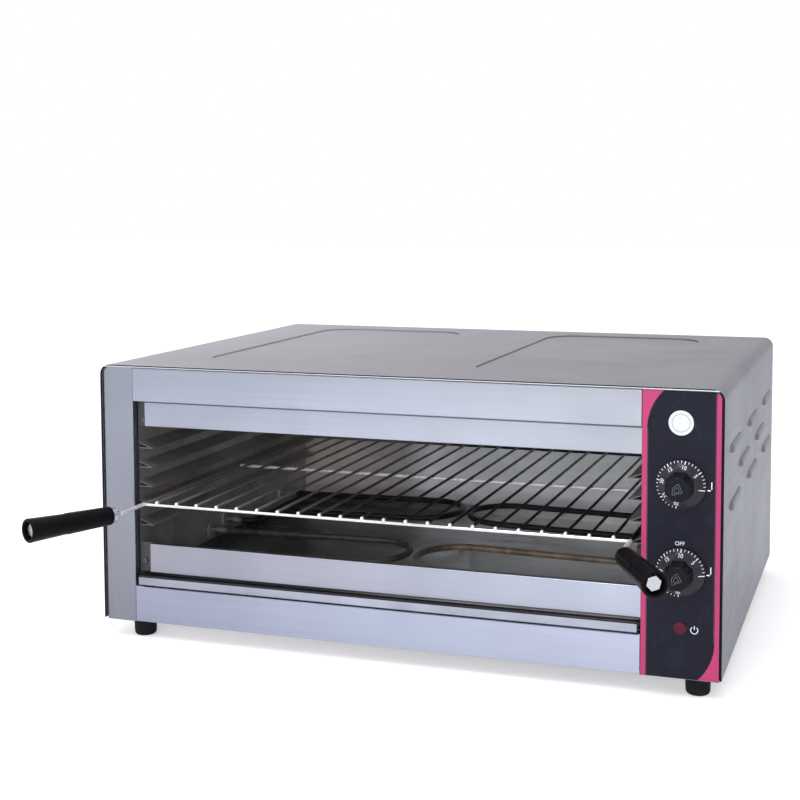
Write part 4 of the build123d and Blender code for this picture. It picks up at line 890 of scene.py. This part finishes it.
@dataclass
class Dial:
    """One timer dial: bevelled skirt with its minute scale, and the outline on its eight-sided cap."""

    palette: Palette
    level: str
    rest_turn: float
    rim_radius: float = 28.5 * MM
    top_radius: float = 18.0 * MM
    edge_depth: float = 3.5 * MM
    minutes: int = 30
    step_degrees: float = 9.0
    long_tick: Pair = (4.2 * MM, 0.45 * MM)
    short_tick: Pair = (2.8 * MM, 0.3 * MM)
    tick_inset: float = 0.5 * MM
    pointer_extra: float = 3.0 * MM
    digit_height: float = 4.3 * MM
    digit_inset: float = 7.6 * MM
    bore_radius: float = 3.2 * MM
    hollow_radius: float = 8.0 * MM
    hollow_depth: float = 3.0 * MM
    softness: float = 0.5 * MM
    line_width: float = 0.32 * MM
    sides: int = 72
    ink: float = 0.12 * MM

    def __post_init__(self) -> None:
        """Reads the dial's place from its nodes."""
        low, high = (np.array(corner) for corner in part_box(f"{self.level}_knob_skirt"))
        self.centre = middle_of(f"{self.level}_knob_skirt")
        self.front, self.back = low[1], high[1]
        self.cap_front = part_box(f"{self.level}_knob_cap")[0][1]

    def bevel(self, radius: Array) -> Array:
        """Y of the skirt's surface: level inside the top radius, then a straight bevel to the rim's edge."""
        share = np.clip((radius - self.top_radius) / (self.rim_radius - self.top_radius), 0, 1)
        return self.front + share * (self.back - self.edge_depth - self.front)

    def on_bevel(self, flat: Array) -> Array:
        """Lays flat points on the skirt: X and Y become X and Z round the axis, and Z stands off it."""
        radius = np.hypot(flat[:, 0], flat[:, 1])
        y = self.bevel(radius) - flat[:, 2]
        return np.stack([self.centre[0] + flat[:, 0], y, self.centre[2] + flat[:, 1]], axis=1)

    def build(self) -> None:
        """Makes the skirt, scale and cap outline, all on the knob's body."""
        for piece, slot in ((self.make_skirt(), "black_plastic"), (self.make_scale(), "label_film"),
                            (self.make_outline(), "label_film")):
            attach(piece, f"{self.level}_knob")
            LOG.info("piece %s", piece.name)

    def make_skirt(self) -> bpy.types.Object:
        """The turned skirt, which stands for its node."""
        depth = self.back - self.front
        soft = self.softness
        rim = depth - self.edge_depth
        floor = depth - self.hollow_depth
        profile = np.array([
            [0.0, self.bore_radius], [0.0, self.top_radius - soft],
            [soft * 0.3, self.top_radius + soft * 0.4], [rim - soft * 0.4, self.rim_radius - soft * 0.6],
            [rim + soft * 0.6, self.rim_radius], [depth - soft, self.rim_radius],
            [depth, self.rim_radius - soft], [depth, self.hollow_radius],
            [floor, self.hollow_radius - soft], [floor, self.bore_radius],
        ])
        origin = np.array([self.centre[0], self.front, self.centre[2]])
        buffer = MeshBuffer()
        buffer.add_loop(turned(origin, AHEAD, profile, self.sides))
        piece = buffer.build(f"{self.level}_dial_skirt", self.palette.get(DIAL_BLACK))
        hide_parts(f"{self.level}_knob_skirt")
        return piece

    def make_scale(self) -> bpy.types.Object:
        """Ticks each minute and digits each five, rising anticlockwise from the pointer."""
        buffer = MeshBuffer()
        for minute in range(self.minutes + 1):
            angle = self.rest_turn + minute * self.step_degrees
            numbered = minute % 5 == 0
            length, half = self.long_tick if numbered else self.short_tick
            inner, outer = self.rim_radius - length, self.rim_radius - self.tick_inset
            corners = np.array([[inner, -half], [outer, -half], [outer, half], [inner, half]])
            if minute == 0:
                corners[[0, 3], 0] = inner - self.pointer_extra
            self.add_flat(buffer, corners, angle)
            if numbered and minute > 0:
                points, faces = text_mesh(str(minute), self.digit_height, self.ink)
                lifted = points + np.array([0.0, self.rim_radius - self.digit_inset, 0.0])
                buffer.add_mesh(self.on_bevel(self.spun(lifted, angle - 90)), faces)
        return buffer.build(f"{self.level}_dial_scale", self.palette.get(WHITE_INK))

    def spun(self, flat: Array, degrees: float) -> Array:
        """Turns flat points anticlockwise about the axis."""
        turn = math.radians(degrees)
        cos, sin = math.cos(turn), math.sin(turn)
        return flat @ np.array([[cos, sin, 0], [-sin, cos, 0], [0, 0, 1.0]])

    def add_flat(self, buffer: MeshBuffer, corners: Array, degrees: float) -> None:
        """Adds a thin plate of four corners, in the order radius and width, laid on the bevel."""
        low = np.column_stack([corners, np.full(len(corners), -self.ink / 2)])
        high = np.column_stack([corners, np.full(len(corners), self.ink / 2)])
        points = self.on_bevel(self.spun(np.concatenate([low, high]), degrees))
        sides = [[place, (place + 1) % 4, (place + 1) % 4 + 4, place + 4] for place in range(4)]
        buffer.add_mesh(points, [[3, 2, 1, 0], [4, 5, 6, 7]] + sides)

    def make_outline(self) -> bpy.types.Object:
        """A generic slice outline on the cap's face: two nested four-sided frames joined at a corner."""
        buffer = MeshBuffer()
        wide = np.array([[-3.9, -7.2], [6.2, -1.6], [0.6, 7.0], [-5.2, 0.6]]) * MM
        small = np.array([[-1.9, -4.4], [3.2, -1.4], [0.2, 3.2], [-2.9, -0.2]]) * MM
        for outline in (wide, small):
            following = np.roll(outline, -1, axis=0)
            for start, end in zip(outline, following):
                self.add_stroke(buffer, start, end)
        return buffer.build(f"{self.level}_cap_outline", self.palette.get(GREY_INK))

    def add_stroke(self, buffer: MeshBuffer, start: Array, end: Array) -> None:
        """Adds a straight printed line on the cap's face."""
        along = (end - start) / np.linalg.norm(end - start) * self.line_width / 2
        side = np.array([-along[1], along[0]])
        ends = np.array([start - along, end + along])
        corners = np.array([ends[0] - side, ends[1] - side, ends[1] + side, ends[0] + side])
        corners = self.spun(np.column_stack([corners, np.zeros(4)]), self.rest_turn)[:, :2]
        points, faces = prism(corners + self.centre[[0, 2]], self.cap_front - self.ink / 2,
                              self.cap_front + self.ink / 2)
        buffer.add_mesh(points, faces)


@dataclass
class FilmPrint:
    """What is printed on the control film: the pink side areas, the pointers, OFF and the power sign."""

    palette: Palette
    stripe_left: float = 5.6 * MM
    stripe_right: float = 5.2 * MM
    corner_radius: float = 63.0 * MM
    corner_rise: float = 45.0 * MM
    margin: float = 0.15 * MM
    case_radius: float = 8.5 * MM
    case_turn: float = 52.0
    stripe_drop: float = 1.5 * MM
    shade: float = 1.4 * MM
    shade_drop: float = 3.0 * MM
    pointer_lifts: Pair = (-5.6 * MM, -1.5 * MM)
    dash: Pair = (29.3 * MM, 33.0 * MM)
    dash_half: float = 0.7 * MM
    stem: Pair = (33.6 * MM, 34.7 * MM)
    stem_rise: Pair = (1.2 * MM, 9.5 * MM)
    word_height: float = 4.6 * MM
    word_place: Pair = (-1.1 * MM, 32.5 * MM)
    sign_place: Pair = (16.4 * MM, -1.0 * MM)
    sign_radii: Pair = (4.5 * MM, 3.7 * MM)
    sign_turns: Pair = (130.0, 410.0)
    stroke_half: float = 0.4 * MM
    stroke_rise: Pair = (0.5 * MM, 5.0 * MM)
    ink: float = 0.1 * MM

    def __post_init__(self) -> None:
        """Reads the film's place from its node."""
        low, high = (np.array(corner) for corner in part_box("control_overlay"))
        self.low, self.high = low, high
        self.face = low[1]

    def plate(self, buffer: MeshBuffer, outline: Array) -> None:
        """Adds a printed area with the given X and Z outline."""
        points, faces = prism(outline, self.face - self.ink, self.face + self.ink)
        buffer.add_mesh(points, faces)

    def build(self) -> None:
        """Makes the pink areas, their dark edges and the white marks."""
        for piece in (self.make_pink(), self.make_shade(), self.make_marks()):
            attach(piece, "casing")
            LOG.info("piece %s", piece.name)

    def make_pink(self) -> bpy.types.Object:
        """Left stripe widening over a large arc to the top, right stripe widening to the bottom."""
        buffer = MeshBuffer()
        reach = math.degrees(math.asin(self.corner_rise / self.corner_radius))
        left, right = self.low[0] + self.margin, self.high[0] - self.margin
        bottom, top = self.low[2] + self.margin, self.high[2] - self.margin
        edge = left + self.stripe_left
        arc = arc_points((edge + self.corner_radius, top - self.corner_rise), self.corner_radius,
                         180, 180 - reach, 24)
        outline = np.concatenate([[[left, bottom], [edge, bottom]], arc, [[left, top]]])
        self.plate(buffer, outline)
        inner = right - self.stripe_right
        arc = arc_points((inner - self.corner_radius, bottom + self.corner_rise), self.corner_radius,
                         0, -reach, 24)
        rounded = self.case_radius
        corner = arc_points((right - rounded, top - rounded), rounded, 0, self.case_turn, 8)
        outline = np.concatenate([[[inner, top - self.stripe_drop]], arc, [[right, bottom]], corner])
        self.plate(buffer, outline)
        return buffer.build("film_pink_areas", self.palette.get(PINK_INK))

    def make_shade(self) -> bpy.types.Object:
        """A thin dark line of ink along the inner edge of each stripe."""
        buffer = MeshBuffer()
        edge = self.low[0] + self.margin + self.stripe_left
        inner = self.high[0] - self.margin - self.stripe_right
        bottom, top = self.low[2], self.high[2]
        self.bar(buffer, edge, edge + self.shade, bottom + self.margin, top - self.corner_rise)
        self.bar(buffer, inner - self.shade, inner, bottom + self.corner_rise, top - self.shade_drop)
        return buffer.build("film_shade_lines", self.palette.get(SHADE_INK))

    def make_marks(self) -> bpy.types.Object:
        """White pointers beside the dials, the word OFF and the power sign."""
        buffer = MeshBuffer()
        for level, lift in zip(("upper", "lower"), self.pointer_lifts):
            centre = middle_of(f"{level}_knob_skirt")
            x, z = centre[0], centre[2] + lift
            self.bar(buffer, x + self.dash[0], x + self.dash[1], z - self.dash_half, z + self.dash_half)
            self.bar(buffer, x + self.stem[0], x + self.stem[1], z + self.stem_rise[0], z + self.stem_rise[1])
        centre = middle_of("lower_knob_skirt")
        points, faces = text_mesh("OFF", self.word_height, 2 * self.ink)
        moved = np.stack([points[:, 0] + centre[0] + self.word_place[0], self.face - points[:, 2],
                          points[:, 1] + centre[2] + self.word_place[1]], axis=1)
        buffer.add_mesh(moved, faces)
        self.power_sign(buffer)
        return buffer.build("film_white_marks", self.palette.get(WHITE_INK))

    def bar(self, buffer: MeshBuffer, left: float, right: float, bottom: float, top: float) -> None:
        """Adds a printed rectangle."""
        self.plate(buffer, np.array([[left, bottom], [right, bottom], [right, top], [left, top]]))

    def power_sign(self, buffer: MeshBuffer) -> None:
        """Adds an open ring and a short upright stroke beside the lamp."""
        lamp = middle_of("lamp_lens")
        x, z = lamp[0] + self.sign_place[0], lamp[2] + self.sign_place[1]
        start, end = self.sign_turns
        outer = arc_points((x, z), self.sign_radii[0], start, end, 36)
        inner = arc_points((x, z), self.sign_radii[1], end, start, 36)
        self.plate(buffer, np.concatenate([outer, inner]))
        low, high = self.stroke_rise
        self.bar(buffer, x - self.stroke_half, x + self.stroke_half, z + low, z + high)


def seen_by(tree: bpy.types.NodeTree, kinds: Sequence[str]) -> Socket:
    """1 for rays of the named kinds and 0 for the others."""
    path = tree.nodes.new("ShaderNodeLightPath")
    share = path.outputs[kinds[0]]
    for kind in kinds[1:]:
        node = tree.nodes.new("ShaderNodeMath")
        node.operation = "MAXIMUM"
        tree.links.new(share, node.inputs[0])
        tree.links.new(path.outputs[kind], node.inputs[1])
        share = node.outputs[0]
    return share


@dataclass
class Studio:
    """Floor, world, lamps and the camera."""

    eye: Triple = (0.58942, -1.80792, 0.57910)
    yaw: float = math.radians(18.583)
    pitch: float = math.radians(4.304)
    roll: float = math.radians(-0.146)
    focal: float = 63.588
    shift: Pair = (-0.0375, -0.125)
    floor_half: float = 14.0
    floor_colour: Colour = (0.86, 0.86, 0.87)
    floor_glow: float = 0.36
    sky_colour: Colour = (0.97, 0.98, 1.0)
    sky_level: float = 0.85

    def build(self) -> None:
        """Makes everything round the object."""
        self.make_camera()
        self.make_floor()
        self.make_world()
        self.make_lamp("key", (-2.4, -2.9, 2.6), (-0.05, 0.0, 0.25), 2.2, 24.0)
        self.make_lamp("front", (0.2, -2.9, 0.45), (-0.05, 0.3, 0.2), 1.5, 55.0, False)
        self.make_lamp("overhead", (0.2, 0.6, 3.2), (0.0, 0.0, 0.2), 2.6, 14.0)
        self.make_lamp("small", (0.0, -1.5, 2.5), (0.3, -0.2, 0.2), 0.9, 22.0)

    def make_camera(self) -> None:
        """The camera looks left and slightly down, with the photograph's framing as its shift."""
        cos, sin = math.cos, math.sin
        level = np.array([-sin(self.yaw), cos(self.yaw), 0.0])
        forward = cos(self.pitch) * level - np.array([0.0, 0.0, sin(self.pitch)])
        right = np.array([cos(self.yaw), sin(self.yaw), 0.0])
        up = np.cross(right, forward)
        leaned_right = cos(self.roll) * right + sin(self.roll) * up
        leaned_up = -sin(self.roll) * right + cos(self.roll) * up
        data = bpy.data.cameras.new("camera")
        data.sensor_width = 36.0
        data.lens = self.focal
        data.shift_x, data.shift_y = self.shift
        data.clip_start, data.clip_end = 0.05, 100.0
        camera = bpy.data.objects.new("camera", data)
        turn = Matrix(np.column_stack([leaned_right, leaned_up, -forward]).tolist()).to_4x4()
        camera.matrix_world = Matrix.Translation(self.eye) @ turn
        bpy.context.scene.collection.objects.link(camera)
        bpy.context.scene.camera = camera

    def make_floor(self) -> None:
        """A wide pale floor that keeps the object's shadow."""
        mesh = bpy.data.meshes.new("floor")
        half = self.floor_half
        corners = [(-half, -half, 0), (half, -half, 0), (half, half, 0), (-half, half, 0)]
        mesh.from_pydata(corners, [], [(0, 1, 2, 3)])
        floor = bpy.data.objects.new("floor", mesh)
        bpy.context.scene.collection.objects.link(floor)
        material = bpy.data.materials.new("pale_floor")
        material.use_nodes = True
        nodes, links = material.node_tree.nodes, material.node_tree.links
        shader = nodes["Principled BSDF"]
        shader.inputs["Base Color"].default_value = (*self.floor_colour, 1)
        shader.inputs["Roughness"].default_value = 0.9
        shader.inputs["Specular IOR Level"].default_value = 0.0
        glow = nodes.new("ShaderNodeEmission")
        glow.inputs["Color"].default_value = (1, 1, 1, 1)
        level = nodes.new("ShaderNodeMath")
        level.operation = "MULTIPLY"
        level.inputs[1].default_value = self.floor_glow
        links.new(seen_by(material.node_tree, ("Is Camera Ray", "Is Glossy Ray")), level.inputs[0])
        links.new(level.outputs[0], glow.inputs["Strength"])
        both = nodes.new("ShaderNodeAddShader")
        links.new(shader.outputs[0], both.inputs[0])
        links.new(glow.outputs[0], both.inputs[1])
        links.new(both.outputs[0], nodes["Material Output"].inputs["Surface"])
        mesh.materials.append(material)

    def make_world(self) -> None:
        """White to the camera and in reflections, a plain grey level as light."""
        world = bpy.data.worlds.new("studio")
        bpy.context.scene.world = world
        world.use_nodes = True
        nodes, links = world.node_tree.nodes, world.node_tree.links
        light = nodes["Background"]
        light.inputs["Color"].default_value = (*self.sky_colour, 1)
        light.inputs["Strength"].default_value = self.sky_level
        white = nodes.new("ShaderNodeBackground")
        white.inputs["Color"].default_value = (1, 1, 1, 1)
        mix = nodes.new("ShaderNodeMixShader")
        kinds = ("Is Camera Ray", "Is Glossy Ray", "Is Transmission Ray")
        links.new(seen_by(world.node_tree, kinds), mix.inputs[0])
        links.new(light.outputs[0], mix.inputs[1])
        links.new(white.outputs[0], mix.inputs[2])
        links.new(mix.outputs[0], nodes["World Output"].inputs["Surface"])

    def make_lamp(self, name: str, place: Triple, aim: Triple, size: float, power: float,
                  reflected: bool = True) -> None:
        """Adds a square soft lamp.

        Args:
            name: The lamp's name.
            place: Its middle.
            aim: The point it faces.
            size: Its side.
            power: Its power in watts.
            reflected: Whether shiny surfaces mirror it.
        """
        data = bpy.data.lights.new(name, "AREA")
        data.size = size
        data.energy = power
        lamp = bpy.data.objects.new(name, data)
        lamp.visible_glossy = reflected
        toward = Matrix.Translation(place).to_translation() - Matrix.Translation(aim).to_translation()
        lamp.matrix_world = Matrix.Translation(place) @ toward.to_track_quat("Z", "Y").to_matrix().to_4x4()
        bpy.context.scene.collection.objects.link(lamp)


def finish_table() -> dict[str, object]:
    """The finish of each CAD node, by name."""
    label = middle_of("round_label")
    groups: dict[object, Sequence[str]] = {
        HEADER_SHEET: ("header_panel", "hood_panel"),
        LOWER_SHEET: ("lower_front_panel",),
        BOTTOM_SHEET: ("bottom_front_panel",),
        POST_SHEET: ("left_front_post", "control_panel"),
        WRAP_SHEET: ("casing_wrap", "base_pan", "rear_panel", "heat_shield"),
        WALL_STEEL: ("left_cavity_wall", "right_cavity_wall", "cavity_ceiling", "left_element_bushes",
                     "right_element_bushes"),
        REAR_STEEL: ("cavity_rear_wall",),
        TRAY_STEEL: ("crumb_tray",),
        RUNNER_STEEL: ("left_rack_runners", "right_rack_runners", "left_tray_runner", "right_tray_runner",
                       "upper_element_hangers"),
        RODS: ("lower_left_elements", "lower_right_elements", "upper_left_elements", "upper_right_elements"),
        DARK_WIRE: ("rack_grid", "left_handle_arm", "right_handle_arm"),
        PLATED: ("rear_screws", "foot_screws", "left_handle_bolt", "right_handle_bolt",
                 "left_handle_washer", "right_handle_washer", "upper_knob_shaft", "lower_knob_shaft",
                 "left_terminals", "right_terminals"),
        TAB_FIXING: ("tab_screws",),
        BLACK_GLOSS: ("left_grip", "right_grip"),
        BLACK_SATIN: ("upper_knob_cap", "lower_knob_cap", "cord_gland", "lamp_body"),
        DIAL_BLACK: ("upper_knob_skirt", "lower_knob_skirt"),
        TIMER_PLASTIC: ("upper_timer", "lower_timer", "terminal_block"),
        DARK_FILM: ("control_overlay",),
        PlainLabel("plain_label", tuple(label), 14.25 * MM): ("round_label",),
        LENS_RED: ("lamp_lens",),
        FOOT_RUBBER: ("feet",),
    }
    return {node: finish for finish, nodes in groups.items() for node in nodes}


def main() -> None:
    """Dresses the frame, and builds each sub-assembly and the studio."""
    logging.basicConfig(level=logging.INFO)
    bpy.context.scene.view_settings.view_transform = "Standard"
    palette = Palette()
    SheetMetal(palette).dress(finish_table())
    WireRack(palette).build()
    for side in ("left", "right"):
        Handle(palette, side).build()
    Dial(palette, "upper", -11.0).build()
    Dial(palette, "lower", -3.0).build()
    FilmPrint(palette).build()
    Studio().build()


if __name__ == "__main__":
    main()
